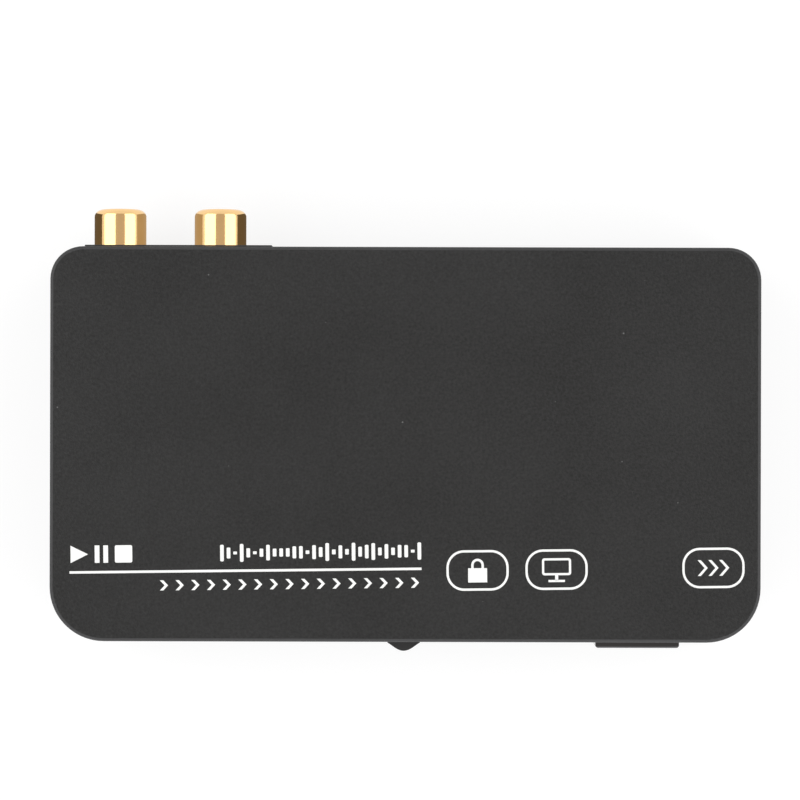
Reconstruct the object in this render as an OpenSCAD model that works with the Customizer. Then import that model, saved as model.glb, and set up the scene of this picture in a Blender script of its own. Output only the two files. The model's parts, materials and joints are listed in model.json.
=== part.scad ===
// HDMI audio extractor: a flat two-part plastic case on four rubber feet.
// The rear wall carries two phono sockets, an HDMI input, an HDMI output and a power socket.
// The front wall carries a headphone socket, two light pipes, a slide switch and an optical socket.
// Millimetres. The origin is the centre of the case on the surface it stands on, +Z is up,
// +X is to the right as the front is looked at, and +Y points to the rear wall.

/* [Case] */
// Length of the case, left to right
body_l = 112.5; // [108:0.5:125]
// Width of the case, front to rear
body_w = 62.5; // [61:0.5:72]
// Plan radius of the two front corners
front_corner_r = 8.6; // [6:0.1:9]
// Plan radius of the two rear corners
rear_corner_r = 5.2; // [4:0.1:5.5]
// Thickness of the side walls
wall_t = 2; // [1.8:0.1:2.3]
// Thickness of the roof
roof_t = 2; // [1.6:0.1:3]
// Thickness of the floor
floor_t = 2; // [1.8:0.1:3]
// Rounding of the roof's outer edge
top_edge_r = 0.6; // [0.3:0.05:1]
// Rounding of the floor's outer edge
bottom_edge_r = 0.8; // [0.3:0.05:1.2]
// Air between the tallest piece on the board and the roof
headroom = 0.3; // [0.2:0.1:2]
// How far the joint of the two shells lies below the top of the board
joint_drop = 0.2; // [0.1:0.05:0.4]
// Height of the lip that the lower shell pushes into the upper one
lip_h = 1.4; // [1:0.1:1.5]
// Thickness of the lip
lip_t = 0.9; // [0.7:0.05:1]
// Play between the lip and its rebate
lip_gap = 0.1; // [0.05:0.01:0.15]
// Height of the shadow groove that runs round the joint
groove_h = 0.3; // [0.2:0.05:0.5]
// Depth of the shadow groove
groove_d = 0.3; // [0.2:0.05:0.5]
// Play between a connector's frame and its window in the wall
window_gap = 0.15; // [0.1:0.05:0.25]

/* [Feet and vents] */
// Diameter of a rubber foot
foot_d = 8; // [6:0.5:9]
// How far a foot stands below the floor
foot_h = 1; // [0.6:0.1:2]
// Depth of the recess that a foot sits in
foot_sunk = 0.6; // [0.4:0.1:0.9]
// Play round a foot in its recess
foot_gap = 0.1; // [0.05:0.05:0.3]
// Distance of the feet from the sides of the case
foot_side_inset = 16.2; // [15.5:0.1:18]
// Distance of the feet from the front and rear walls
foot_end_inset = 8.2; // [7:0.1:10]
// Number of vent slots in the floor
vent_count = 9; // [3:1:11]
// Width of a vent slot
vent_w = 1.6; // [1.2:0.1:2.4]
// Distance between two vent slots
vent_pitch = 4; // [3:0.1:4.5]
// Length of a vent slot, over its round ends
vent_l = 20; // [10:1:24]

/* [Case screws] */
// Shank diameter of a case screw
case_screw_d = 2.2; // [2:0.1:2.4]
// Head diameter of a case screw
case_screw_head_d = 4.4; // [4:0.1:4.6]
// Head height of a case screw
case_screw_head_h = 1.5; // [1.2:0.1:1.8]
// Length of a case screw under its head
case_screw_l = 8; // [6:0.5:11]
// Depth of the counterbore that takes the head, from the underside
case_screw_sunk = 3.4; // [2.6:0.1:3.8]
// Diameter of the screw bosses of the upper shell
upper_boss_d = 6; // [5:0.1:6.4]
// Diameter of the screw bosses of the lower shell
lower_boss_d = 6.8; // [6.4:0.1:7]
// Play round a screw in the lower shell and round its head
screw_gap = 0.2; // [0.1:0.05:0.25]
// Play round a screw in the part it is driven into
thread_gap = 0.05; // [0.02:0.01:0.08]
// Distance of the case screws from the sides
boss_side_inset = 6.25; // [6:0.05:6.5]
// Distance of the front case screws from the front wall
boss_front_inset = 7.25; // [7:0.05:8]
// Distance of the rear case screws from the rear wall
boss_rear_inset = 17.75; // [16:0.25:19]

/* [Ribs] */
// Thickness of the ribs inside both shells
rib_t = 1; // [0.8:0.1:1.2]
// Height of the ribs on the floor
floor_rib_h = 1.2; // [0.6:0.1:1.4]

/* [Circuit board] */
// Thickness of the board
board_t = 1.6; // [1.2:0.1:2]
// Air between the board's edge and the walls
board_gap = 0.5; // [0.3:0.1:0.8]
// Height of the board above the floor
standoff_h = 2.6; // [2.4:0.1:4]
// Diameter of the board's standoffs
standoff_d = 5; // [4:0.1:6]
// Shank diameter of a board screw
board_screw_d = 1.8; // [1.6:0.1:2]
// Head diameter of a board screw
board_screw_head_d = 4; // [3.4:0.1:4.4]
// Head height of a board screw
board_screw_head_h = 1.3; // [1:0.1:1.6]
// Length of a board screw under its head
board_screw_l = 3.6; // [3:0.1:4]

/* [Phono sockets] */
// Outer diameter of a socket's sleeve
rca_d = 8.3; // [8.2:0.02:8.4]
// Distance between the two sockets
rca_pitch = 16; // [14:0.5:16.5]
// Distance of the middle of the pair from the left side
rca_inset = 18.6; // [18.4:0.1:19.5]
// How far a sleeve stands out of the rear wall
rca_reach = 6.15; // [5:0.05:9]
// Height of the socket's axis above the board
rca_axis_h = 6; // [5.6:0.1:6.2]
// Sheet thickness of the sleeve
rca_sheet = 0.5; // [0.4:0.05:0.6]
// How far the rolled lip turns in from the sleeve's outer face
rca_lip_w = 1.5; // [1:0.05:1.7]
// How far the rolled lip runs along the sleeve
rca_lip_l = 1.2; // [0.7:0.05:1.4]
// How deep the sleeve's tail sits in the housing
rca_tail_l = 4; // [3:0.1:5]
// How much thinner the tail is than the sleeve, across the diameter
rca_tail_step = 0.4; // [0.2:0.05:0.5]
// Height of the housing above the board
rca_h = 11; // [10.6:0.1:11.5]
// Reach of the housing's face plate to the left of the middle of the pair
rca_plate_left = 13.3; // [12.5:0.1:13.3]
// Reach of the face plate to the right of the middle of the pair
rca_plate_right = 16.4; // [14:0.1:17]
// How far the face plate stands out of the rear wall
rca_plate_proud = 0.3; // [0.1:0.05:0.6]
// Thickness of the face plate
rca_plate_t = 2.2; // [1.6:0.1:2.6]
// Width of the block behind each socket
rca_block_w = 10.4; // [10:0.1:11]
// Depth of the housing from the face plate's front
rca_block_d = 12; // [11:0.5:14]
// Distance of the coloured insulator behind the sleeve's mouth
rca_recess = 1.2; // [0.6:0.1:2]
// Outer diameter of the centre contact
rca_contact_d = 4.3; // [4:0.1:4.6]
// Bore of the centre contact, which takes the plug's pin
rca_contact_bore = 3.3; // [3.2:0.02:3.4]
// Length of the centre contact
rca_contact_l = 8; // [6:0.5:8.5]
// Distance of the centre contact behind the insulator's face
rca_contact_recess = 0.8; // [0.4:0.1:1.5]

/* [HDMI sockets] */
// Place of the input along the rear wall, from the middle
hdmi_input_x = -4; // [-5:0.5:-3]
// Place of the output along the rear wall, from the middle
hdmi_output_x = 19; // [17:0.5:20]
// Width of the opening inside the shell
hdmi_w = 14; // [13.9:0.05:14.1]
// Height of the opening inside the shell
hdmi_h = 4.55; // [4.5:0.05:4.7]
// Size of the two slanted lower corners
hdmi_slant = 1.6; // [1.2:0.1:1.8]
// Sheet thickness of the shell
hdmi_sheet = 0.35; // [0.25:0.05:0.4]
// Depth of the shell
hdmi_d = 11; // [10:0.5:12.5]
// How far the shell's mouth lies behind the rear wall's outer face
hdmi_setback = 0.3; // [0.1:0.1:0.6]
// How far the folded lip stands out round the mouth
hdmi_lip = 0.25; // [0.15:0.05:0.3]
// How far the two spring leaves dip into the opening
hdmi_leaf_dip = 0.4; // [0.2:0.05:0.5]
// Air between the shell and its window
hdmi_gap = 0.5; // [0.4:0.05:0.8]
// Width of the tongue that carries the contacts
hdmi_tongue_w = 11.2; // [10.8:0.1:11.4]
// Thickness of the tongue
hdmi_tongue_t = 1.5; // [1.4:0.05:1.6]
// Distance of the tongue's tip behind the mouth
hdmi_tongue_recess = 1.2; // [0.8:0.1:2]
// Pitch of the contacts in each row
hdmi_contact_pitch = 1; // [0.95:0.01:1.02]
// Width of a contact
hdmi_contact_w = 0.42; // [0.3:0.02:0.5]
// Thickness of a contact
hdmi_contact_t = 0.16; // [0.12:0.02:0.2]

/* [Power socket] */
// Distance of the socket from the right side
power_inset = 15.25; // [14.8:0.05:15.6]
// Width of the socket's block
power_w = 9; // [8.6:0.1:9.2]
// Height of the block above the board
power_h = 11; // [10.4:0.1:11.5]
// Depth of the block
power_d = 13; // [12:0.5:14]
// Height of the socket's axis above the board
power_axis_h = 6.5; // [6:0.1:6.6]
// Diameter of the round nose that fills the hole in the wall
power_nose_d = 8; // [7.6:0.1:8.2]
// Bore that takes the plug's barrel
power_bore_d = 6.3; // [6:0.1:6.4]
// Depth of the bore
power_bore_l = 9.5; // [9:0.5:10]
// Diameter of the centre pin
power_pin_d = 2; // [1.6:0.05:2.5]
// Chamfer round the mouth of the bore
power_lead_in = 0.4; // [0.2:0.05:0.5]
// Thickness of the square flange behind the wall
power_flange_t = 2.5; // [1.5:0.1:4]
// Size of the slanted upper edges behind the flange
power_shoulder = 1.6; // [0.8:0.1:1.8]

/* [Headphone socket] */
// Distance of the socket from the left side
phones_inset = 19.05; // [18:0.05:20]
// Diameter of the socket's nose
phones_nose_d = 6; // [5.6:0.1:6.2]
// Bore that takes the plug
phones_bore_d = 3.6; // [3.55:0.01:3.7]
// Length of the bore
phones_bore_l = 12.5; // [12:0.5:14]
// Height of the socket's axis above the board
phones_axis_h = 3.1; // [3.05:0.05:3.4]
// Width of the socket's block
phones_w = 6.6; // [6.4:0.1:7.5]
// Air round the nose in the wall
phones_gap = 0.25; // [0.15:0.05:0.3]
// Chamfer round the mouth of the bore
phones_lead_in = 0.4; // [0.2:0.05:0.5]

/* [Indicator lights] */
// Place of the first light from the middle of the front wall
light_x = -20; // [-21:0.5:-19]
// Distance between the two lights
light_pitch = 5; // [4:0.5:6]
// Diameter of a light pipe
light_d = 2; // [1.6:0.1:2.4]
// Height of the light pipes above the board
light_axis_h = 3.6; // [3.2:0.1:4]

/* [Mode switch] */
// Place of the switch from the middle of the front wall
switch_x = -0.2; // [-2:0.1:2]
// Height of the knob's centre above the board
switch_axis_h = 3.6; // [3.55:0.05:4]
// Width of the knob
knob_w = 5.2; // [4.6:0.1:5.6]
// Height of the knob
knob_h = 3.4; // [3:0.1:3.6]
// How far the knob stands out of the front wall
knob_reach = 1.9; // [1.4:0.05:2.6]
// How far the knob's straight sides stand out before its crown begins
knob_shoulder = 0.6; // [0.4:0.05:1]
// How far the knob slides each way from the middle
switch_travel = 2; // [1.6:0.1:2]
// Air round the knob in its slot
knob_gap = 0.3; // [0.2:0.05:0.4]
// Thickness of the cover plate that slides behind the slot
knob_plate_t = 0.8; // [0.6:0.1:1]
// Width of the switch's metal can
switch_can_w = 11; // [10.8:0.1:12]
// Depth of the can
switch_can_d = 5; // [4.6:0.1:5.6]
// Width of the lever that carries the knob
lever_w = 3; // [2.4:0.1:3.2]
// Height of the lever
lever_h = 1.8; // [1.4:0.1:2]
// Air round the sliding pieces inside the switch
slide_gap = 0.1; // [0.05:0.01:0.15]

/* [Optical socket] */
// Distance of the socket from the right side
optical_inset = 19.4; // [18.8:0.1:20]
// Width of the socket's housing
optical_w = 13.3; // [12.9:0.1:13.6]
// Height of the housing above the board
optical_h = 11; // [10.8:0.1:11.5]
// Depth of the housing behind its front
optical_d = 14.5; // [14:0.5:16]
// How far the housing stands out of the front wall
optical_proud = 1; // [0.5:0.1:1.2]
// Plan rounding of the housing's front corners
optical_corner_r = 0.5; // [0.3:0.05:0.8]
// Rounding of the front's upper and lower edges
optical_edge_r = 0.35; // [0.2:0.05:0.5]
// Width of the shallow step round the mouth
optical_step_w = 0.6; // [0.3:0.05:0.8]
// Depth of the shallow step
optical_step_d = 0.35; // [0.2:0.05:0.45]
// Height of the mouth's lower edge above the board
optical_sill_h = 1.2; // [1:0.1:1.4]
// Width of the mouth
optical_mouth_w = 8.4; // [8.2:0.1:8.6]
// Height of the mouth
optical_mouth_h = 8.2; // [8:0.1:8.3]
// Thickness of the frame in front of the shutter
optical_frame_t = 0.9; // [0.7:0.1:1.1]
// How much the shutter overlaps the mouth on each side
shutter_overlap = 0.2; // [0.15:0.05:0.25]
// Thickness of the shutter
shutter_t = 0.8; // [0.7:0.05:0.9]
// Number of grooves across the shutter's face
shutter_grooves = 3; // [1:1:5]
// Diameter of the shutter's two trunnions
trunnion_d = 1; // [0.8:0.05:1]
// Length of a trunnion
trunnion_l = 1; // [0.7:0.1:1.2]
// Running clearance round a trunnion
trunnion_gap = 0.05; // [0.03:0.01:0.08]
// Air round the shutter
shutter_gap = 0.15; // [0.1:0.05:0.2]
// Diameter of the light emitter behind the shutter
emitter_d = 5; // [4.4:0.1:5.6]

/* [Board parts] */
// Side of the video chip
video_chip_w = 10; // [8:0.5:12]
// Height of the video chip
video_chip_h = 0.9; // [0.7:0.1:1.4]
// Length of the audio chip's body
audio_chip_l = 9.9; // [8:0.1:10.3]
// Width of the audio chip's body
audio_chip_w = 3.9; // [3.7:0.1:4.4]
// Height of the chips with leads
leaded_chip_h = 1.5; // [1.2:0.1:1.8]
// Side of the controller chip's body
controller_w = 7; // [5:0.5:8]
// Side of an inductor
inductor_w = 5; // [4:0.5:6]
// Height of an inductor
inductor_h = 3; // [2:0.5:4]
// Diameter of an electrolytic capacitor
can_d = 5; // [4:0.1:6.3]
// Height of an electrolytic capacitor
can_h = 5.6; // [5:0.1:7]
// Length of a crystal's can
crystal_l = 10.5; // [8:0.1:11.5]
// Width of a crystal's can
crystal_w = 4.4; // [3.5:0.1:4.7]
// Height of a crystal's can
crystal_h = 3.4; // [2:0.1:3.6]
// Length of a chip capacitor
chip_cap_l = 1.6; // [1:0.1:2]
// Distance between two pins of the programming header
pin_spacing = 2.54; // [2:0.02:2.54]
// Air between a chip and the chip capacitors round it
chip_cap_gap = 0.8; // [0.5:0.1:1.2]

/* [Hidden] */
$fn = 64;

// How far a cutting shape runs past the face that it cuts
cut = 0.5;
// Play of a leg or a peg in its hole in the board
leg_gap = 0.1;
// How far legs and pegs stand below the board
leg_drop = 0.6;

// Heights, from the surface that the feet stand on
z_under = foot_h;
z_floor = z_under + floor_t;
z_board = z_floor + standoff_h;
z_top = z_board + board_t;
z_joint = z_top - joint_drop;
tallest_h = max(rca_h, power_h, optical_h);
z_ceiling = z_top + tallest_h + headroom;
z_roof = z_ceiling + roof_t;
z_lip = z_joint + lip_h;

// Planes of the walls
x_side = body_l / 2;
x_side_in = x_side - wall_t;
y_front = -body_w / 2;
y_front_in = y_front + wall_t;
y_rear = body_w / 2;
y_rear_in = y_rear - wall_t;

// Circuit board
board_x = x_side_in - board_gap;
board_y = y_rear_in - board_gap;
board_corner_r = front_corner_r - wall_t - board_gap;
board_screw_share = 0.763;
board_screw_front_share = -0.31;
board_screw_rear_share = 0.24;
board_screw_x = board_x * board_screw_share;
board_screw_ys = [board_y * board_screw_front_share, board_y * board_screw_rear_share];
board_hole_d = board_screw_d + 2 * screw_gap;

// Screws that join the shells
boss_x = x_side - boss_side_inset;
boss_front_y = y_front + boss_front_inset;
boss_rear_y = y_rear - boss_rear_inset;
boss_notch_r = lower_boss_d / 2 + board_gap;
counterbore_d = case_screw_head_d + 2 * screw_gap;
z_head_seat = z_under + case_screw_sunk;
z_pilot = z_head_seat + case_screw_l + case_screw_d / 2;
drive_w_share = 0.22;
drive_l_share = 0.62;
drive_depth_share = 0.5;

// Feet
foot_x = x_side - foot_side_inset;
foot_y = body_w / 2 - foot_end_inset;
foot_chamfer = foot_h / 5;

// Ribs across the floor, in front of the vent slots and behind them
floor_rib_y = vent_l / 2 + vent_w;

// Phono sockets
rca_mid_x = -x_side + rca_inset;
rca_xs = [rca_mid_x - rca_pitch / 2, rca_mid_x + rca_pitch / 2];
rca_z = z_top + rca_axis_h;
rca_face_y = y_rear + rca_plate_proud;
rca_end_y = y_rear + rca_reach;
rca_tail_y = rca_face_y - rca_tail_l;
rca_tail_d = rca_d - rca_tail_step;
rca_tail_gap = 0.05;
rca_bore_d = rca_d - 2 * rca_sheet;
rca_mouth_d = rca_d - 2 * rca_lip_w;
rca_lip_steps = 12;
rca_back_y = rca_face_y - rca_block_d;
rca_insulator_d = rca_tail_d - 2 * rca_sheet - 2 * rca_tail_gap;
rca_insulator_y = rca_end_y - rca_recess;
rca_insulator_front_d = rca_mouth_d - 2 * rca_tail_gap;
rca_lead_in = rca_contact_recess / 2;
rca_contact_y = rca_insulator_y - rca_contact_recess;
rca_peg_d = 1.4;

// HDMI sockets
hdmi_mouth_y = y_rear - hdmi_setback;
hdmi_back_y = hdmi_mouth_y - hdmi_d;
hdmi_miter_share = 2 - sqrt(2);
hdmi_open_z = z_top + hdmi_sheet;
hdmi_tongue_z = hdmi_open_z + hdmi_h / 2;
hdmi_lip_l = 2 * hdmi_sheet;
hdmi_plug_depth = 8.2;
hdmi_slot_w = 0.3;
hdmi_leaf_w = 2;
hdmi_leaf_l = 4.2;
hdmi_leaf_x = hdmi_w / 4;
hdmi_leaf_back = 1.4;
hdmi_knee_share = 0.65;
hdmi_roof_z = hdmi_open_z + hdmi_h;
hdmi_leaf_y1 = hdmi_mouth_y - hdmi_leaf_back;
hdmi_leaf_y0 = hdmi_leaf_y1 - hdmi_leaf_l;
hdmi_leg_w = 1.2;
hdmi_leg_shares = [0.25, 0.68];
hdmi_top_row = 10;
hdmi_low_row = 9;
hdmi_contact_sunk = hdmi_contact_t / 2;
hdmi_contact_tip = 0.5;
hdmi_tail_l = 1.2;

// Power socket
power_x = x_side - power_inset;
power_z = z_top + power_axis_h;
power_face_y = y_rear_in - window_gap;
power_back_y = power_face_y - power_d;
power_nose_y = y_rear - hdmi_setback;
power_pin_back_l = 1.5;
power_pin_setback = 0.8;
power_blade_w = 2.2;
power_blade_t = 0.5;
power_leaf_share = 0.45;
power_leaf_t = 0.3;
power_leaf_w = 2;
power_leaf_l = power_bore_l / 2;

// Headphone socket
phones_x = -x_side + phones_inset;
phones_z = z_top + phones_axis_h;
phones_block_h = phones_axis_h + phones_nose_d / 2;
phones_mouth_y = y_front + lip_gap;
phones_face_y = y_front_in + window_gap;
phones_back_wall = 0.6;
phones_back_y = phones_mouth_y + phones_bore_l + phones_back_wall;
phones_tab_t = 0.3;
phones_tab_w = 1;
phones_tab_h = 1.6;
phones_tab_shares = [0.3, 0.75];

// Lights
light_xs = [light_x, light_x + light_pitch];
light_z = z_top + light_axis_h;
light_rim = 0.5;
light_flange_d = light_d + 2 * light_rim;
light_flange_t = 1;
light_front_y = y_front + lip_gap;
light_l = 6;
light_hole_d = light_d + 2 * lip_gap;
led_w = 2.4;
led_gap = 0.15;

// Mode switch
switch_z = z_top + switch_axis_h;
knob_slot_w = knob_w + 2 * switch_travel + 2 * knob_gap;
knob_slot_h = knob_h + 2 * knob_gap;
knob_plate_w = knob_slot_w + 2 * switch_travel + 2 * knob_gap;
knob_plate_h = knob_slot_h + knob_gap;
knob_plate_y = y_front_in + slide_gap;
knob_back_y = knob_plate_y + knob_plate_t;
knob_steps = 24;
knob_power_share = 1.2;
knob_pocket_l = 1.2;
knob_pocket_gap = 0.05;
switch_sheet = 0.3;
switch_base_t = 1.2;
switch_can_front_y = knob_back_y + 2 * slide_gap;
switch_can_back_y = switch_can_front_y + switch_can_d;
switch_can_z = z_top + switch_base_t;
switch_can_top = switch_z + lever_h / 2 + switch_sheet + 2 * slide_gap + 0.5 * lever_h;
switch_block_w = switch_can_w - 2 * switch_sheet - 2 * switch_travel - 4 * slide_gap;
switch_slot_w = lever_w + 2 * switch_travel + 4 * slide_gap;
switch_leg_w = 1.2;
switch_pin_d = 0.8;
switch_pin_pitch = 2;

// Optical socket
optical_x = x_side - optical_inset;
optical_front_y = y_front - optical_proud;
optical_back_y = optical_front_y + optical_d;
optical_mouth_z = z_top + optical_sill_h;
optical_mouth_top = optical_mouth_z + optical_mouth_h;
shutter_w = optical_mouth_w + 2 * shutter_overlap;
optical_cavity_w = shutter_w + 2 * shutter_gap;
optical_cavity_z = optical_mouth_z - shutter_overlap;
shutter_y = optical_front_y + optical_frame_t + shutter_gap + shutter_t / 2;
shutter_z = optical_mouth_top + shutter_overlap + trunnion_d / 4;
optical_cavity_top = shutter_z + trunnion_d / 2 + shutter_gap;
shutter_low_z = optical_mouth_z - shutter_overlap + shutter_gap;
shutter_groove_share = 0.6;
emitter_air = 2;
optical_cavity_l = optical_mouth_h + 2 * shutter_t + emitter_air;
optical_cavity_back = optical_front_y + optical_frame_t + optical_cavity_l;
optical_chamfer = 1.2;
emitter_z = optical_mouth_z + optical_mouth_h / 2;
emitter_bore_d = 2.5;
emitter_bore_l = 1.6;
emitter_back_wall = 0.6;
optical_leg_w = 0.6;
optical_leg_pitch = 2.54;
optical_groove_w = 0.8;
optical_groove_d = 0.4;

// How far a row of chip capacitors reaches from a chip, with the air on both its sides
cap_row_reach = 2 * chip_cap_gap + chip_cap_l;

// Board parts, with their places as shares of the board's half length and half width
lead_w = 0.4;
lead_t = 0.2;
lead_reach = 1.1;
lead_shoulder_share = 0.45;
audio_lead_count = 7;
audio_end_share = 0.8;
controller_lead_count = 8;
controller_end_share = 0.75;
video_chip_share = [0.1, 0.02];
audio_chip_share = [-0.55, 0.05];
controller_share = [-0.2, -0.22];
regulator_shares = [[0.58, -0.14], [0.58, 0.28]];
regulator_l = 6.5;
regulator_w = 3.5;
regulator_h = 1.6;
regulator_lead_pitch = 2.3;
regulator_tab_w = 3;
inductor_shares = [[0.42, 0.1], [0.42, -0.25]];
can_base_share = 1.06;
can_x_share = -0.34;
can_y_shares = [0.28, 0.03];
can_places = concat([for (share = can_y_shares) [board_x * can_x_share, board_y * share]],
    [[board_x * audio_chip_share[0] - audio_chip_w, board_y * audio_chip_share[1]
        - audio_chip_l / 2 - cap_row_reach - can_d * can_base_share / 2]]);
can_base_h = 0.8;
can_waist_h = 0.9;
can_waist_share = 0.92;
crystal_x_share = 0.02;
crystal_places = [[board_x * crystal_x_share, board_y * video_chip_share[1]
    - video_chip_w / 2 - cap_row_reach - crystal_w / 2]];
crystal_rim = 0.4;
video_cap_count = 5;
audio_cap_count = 3;
chip_cap_w_share = 0.5;
chip_cap_h_share = 0.45;
chip_cap_end_share = 0.22;
chip_cap_waist = 0.05;
header_share = [0.32, -0.5];
header_pins = 4;
header_h = 2.5;
header_pin_w = 0.64;
header_pin_l = 6;

// A box between two corners
module block(x0, x1, y0, y1, z0, z1)
    translate([x0, y0, z0]) cube([x1 - x0, y1 - y0, z1 - z0]);

// A round bar along Y, from y0 to y1
module rod(x, z, d, y0, y1)
    translate([x, y0, z]) rotate([-90, 0, 0]) cylinder(d = d, h = y1 - y0);

// Half a section of the case: a rectangle from the axis out to reach, with its outer corners rounded
module half_section(reach, z0, z1, low_r, high_r)
    difference() {
        translate([0, z0]) square([reach, z1 - z0]);
        if (low_r > 0) translate([reach - low_r, z0 + low_r]) difference() {
            translate([0, -low_r - cut]) square([low_r + cut, low_r + cut]);
            circle(r = low_r);
        }
        if (high_r > 0) translate([reach - high_r, z1 - high_r]) difference() {
            square([high_r + cut, high_r + cut]);
            circle(r = high_r);
        }
    }

// A corner of the case: a quarter turn of the half section
module case_corner(x, y, turn, r, z0, z1, low_r, high_r)
    translate([x, y, 0]) rotate([0, 0, turn]) rotate_extrude(angle = 90)
        half_section(r, z0, z1, low_r, high_r);

// A straight edge of the case: it runs along +X from a point, with its outer face towards turn
module case_edge(x, y, turn, l, reach, z0, z1, low_r, high_r)
    translate([x, y, 0]) rotate([0, 0, turn]) rotate([90, 0, 0]) translate([0, 0, -l])
        linear_extrude(height = l) half_section(reach, z0, z1, low_r, high_r);

// The case's rounded block, drawn in by inset: four corners, four edges and a core, face to face
module case_block(inset, z0, z1, low_r, high_r) {
    hx = x_side - inset;
    hy = body_w / 2 - inset;
    fr = front_corner_r - inset;
    rr = rear_corner_r - inset;
    case_corner(-hx + fr, -hy + fr, 180, fr, z0, z1, low_r, high_r);
    case_corner(hx - fr, -hy + fr, 270, fr, z0, z1, low_r, high_r);
    case_corner(hx - rr, hy - rr, 0, rr, z0, z1, low_r, high_r);
    case_corner(-hx + rr, hy - rr, 90, rr, z0, z1, low_r, high_r);
    case_edge(hx - fr, -hy + fr, 0, 2 * hy - fr - rr, fr, z0, z1, low_r, high_r);
    case_edge(-hx + fr, hy - rr, 180, 2 * hy - fr - rr, fr, z0, z1, low_r, high_r);
    case_edge(hx - rr, hy - rr, 90, 2 * (hx - rr), rr, z0, z1, low_r, high_r);
    case_edge(-hx + fr, -hy + fr, 270, 2 * (hx - fr), fr, z0, z1, low_r, high_r);
    block(-hx + fr, hx - fr, -hy + fr, hy - rr, z0, z1);
}

// The four places of the case screws
module at_bosses()
    for (side = [-1, 1]) {
        translate([side * boss_x, boss_front_y, 0]) children();
        translate([side * boss_x, boss_rear_y, 0]) children();
    }

// The four places of the board screws
module at_board_screws()
    for (side = [-1, 1], y = board_screw_ys) translate([side * board_screw_x, y, 0]) children();

// The four places of the feet
module at_feet()
    for (side = [-1, 1], end = [-1, 1]) translate([side * foot_x, end * foot_y, 0]) children();

// Windows that open down to the joint, so that the board and its sockets drop in from above
module rear_windows(z0) {
    block(rca_mid_x - rca_plate_left - window_gap, rca_mid_x + rca_plate_right + window_gap,
        y_rear_in - cut, y_rear + cut, z0, z_top + rca_h + window_gap);
    for (x = [hdmi_input_x, hdmi_output_x]) {
        half = hdmi_w / 2 + hdmi_sheet + hdmi_gap;
        block(x - half, x + half, y_rear_in - cut, y_rear + cut, z0,
            hdmi_open_z + hdmi_h + hdmi_sheet + hdmi_gap);
    }
}

module front_windows(z0) {
    block(optical_x - optical_w / 2 - window_gap, optical_x + optical_w / 2 + window_gap,
        y_front - cut, y_front_in + cut, z0, z_top + optical_h + window_gap);
    nose_r = phones_nose_d / 2 + phones_gap;
    block(phones_x - nose_r, phones_x + nose_r, y_front - cut, y_front_in + cut, z0, phones_z);
}

module top_shell() {
    color([0.235, 0.24, 0.25]) {
        difference() {
            case_block(0, z_joint, z_roof, 0, top_edge_r);
            case_block(wall_t, z_joint - cut, z_ceiling, 0, 0);
            case_block(wall_t - lip_t - lip_gap, z_joint - cut, z_lip + lip_gap, 0, 0);
            rear_windows(z_joint - cut);
            front_windows(z_joint - cut);
            rod(power_x, power_z, power_nose_d + 2 * window_gap, y_rear_in - cut, y_rear + cut);
            rod(phones_x, phones_z, phones_nose_d + 2 * phones_gap, y_front - cut,
                y_front_in + cut);
            for (x = light_xs) rod(x, light_z, light_hole_d, y_front - cut, y_front_in + cut);
            block(switch_x - knob_slot_w / 2, switch_x + knob_slot_w / 2, y_front - cut,
                y_front_in + cut, switch_z - knob_slot_h / 2, switch_z + knob_slot_h / 2);
        }
        difference() {
            union() {
                at_bosses() translate([0, 0, z_joint])
                    cylinder(d = upper_boss_d, h = z_ceiling - z_joint);
                boss_ribs(z_lip + rib_t, z_ceiling);
            }
            at_bosses() translate([0, 0, z_joint - cut])
                cylinder(d = case_screw_d + 2 * thread_gap, h = z_pilot - z_joint + cut);
        }
    }
}

// Ribs that tie the screw bosses to the side walls, and the front ones to the front wall as well
module boss_ribs(z0, z1)
    for (side = [-1, 1]) {
        for (y = [boss_front_y, boss_rear_y])
            translate([side * (boss_x + x_side_in + rib_t / 2) / 2, y, (z0 + z1) / 2])
                cube([x_side_in + rib_t / 2 - boss_x, rib_t, z1 - z0], center = true);
        block(side * boss_x - rib_t / 2, side * boss_x + rib_t / 2, y_front_in - rib_t / 2,
            boss_front_y, z0, z1);
    }

// One vent slot, cut through the floor
module vent_slot() {
    straight = vent_l - vent_w;
    block(-vent_w / 2, vent_w / 2, -straight / 2, straight / 2, z_under - cut, z_floor + cut);
    for (end = [-1, 1]) translate([0, end * straight / 2, z_under - cut])
        cylinder(d = vent_w, h = floor_t + 2 * cut);
}

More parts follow.
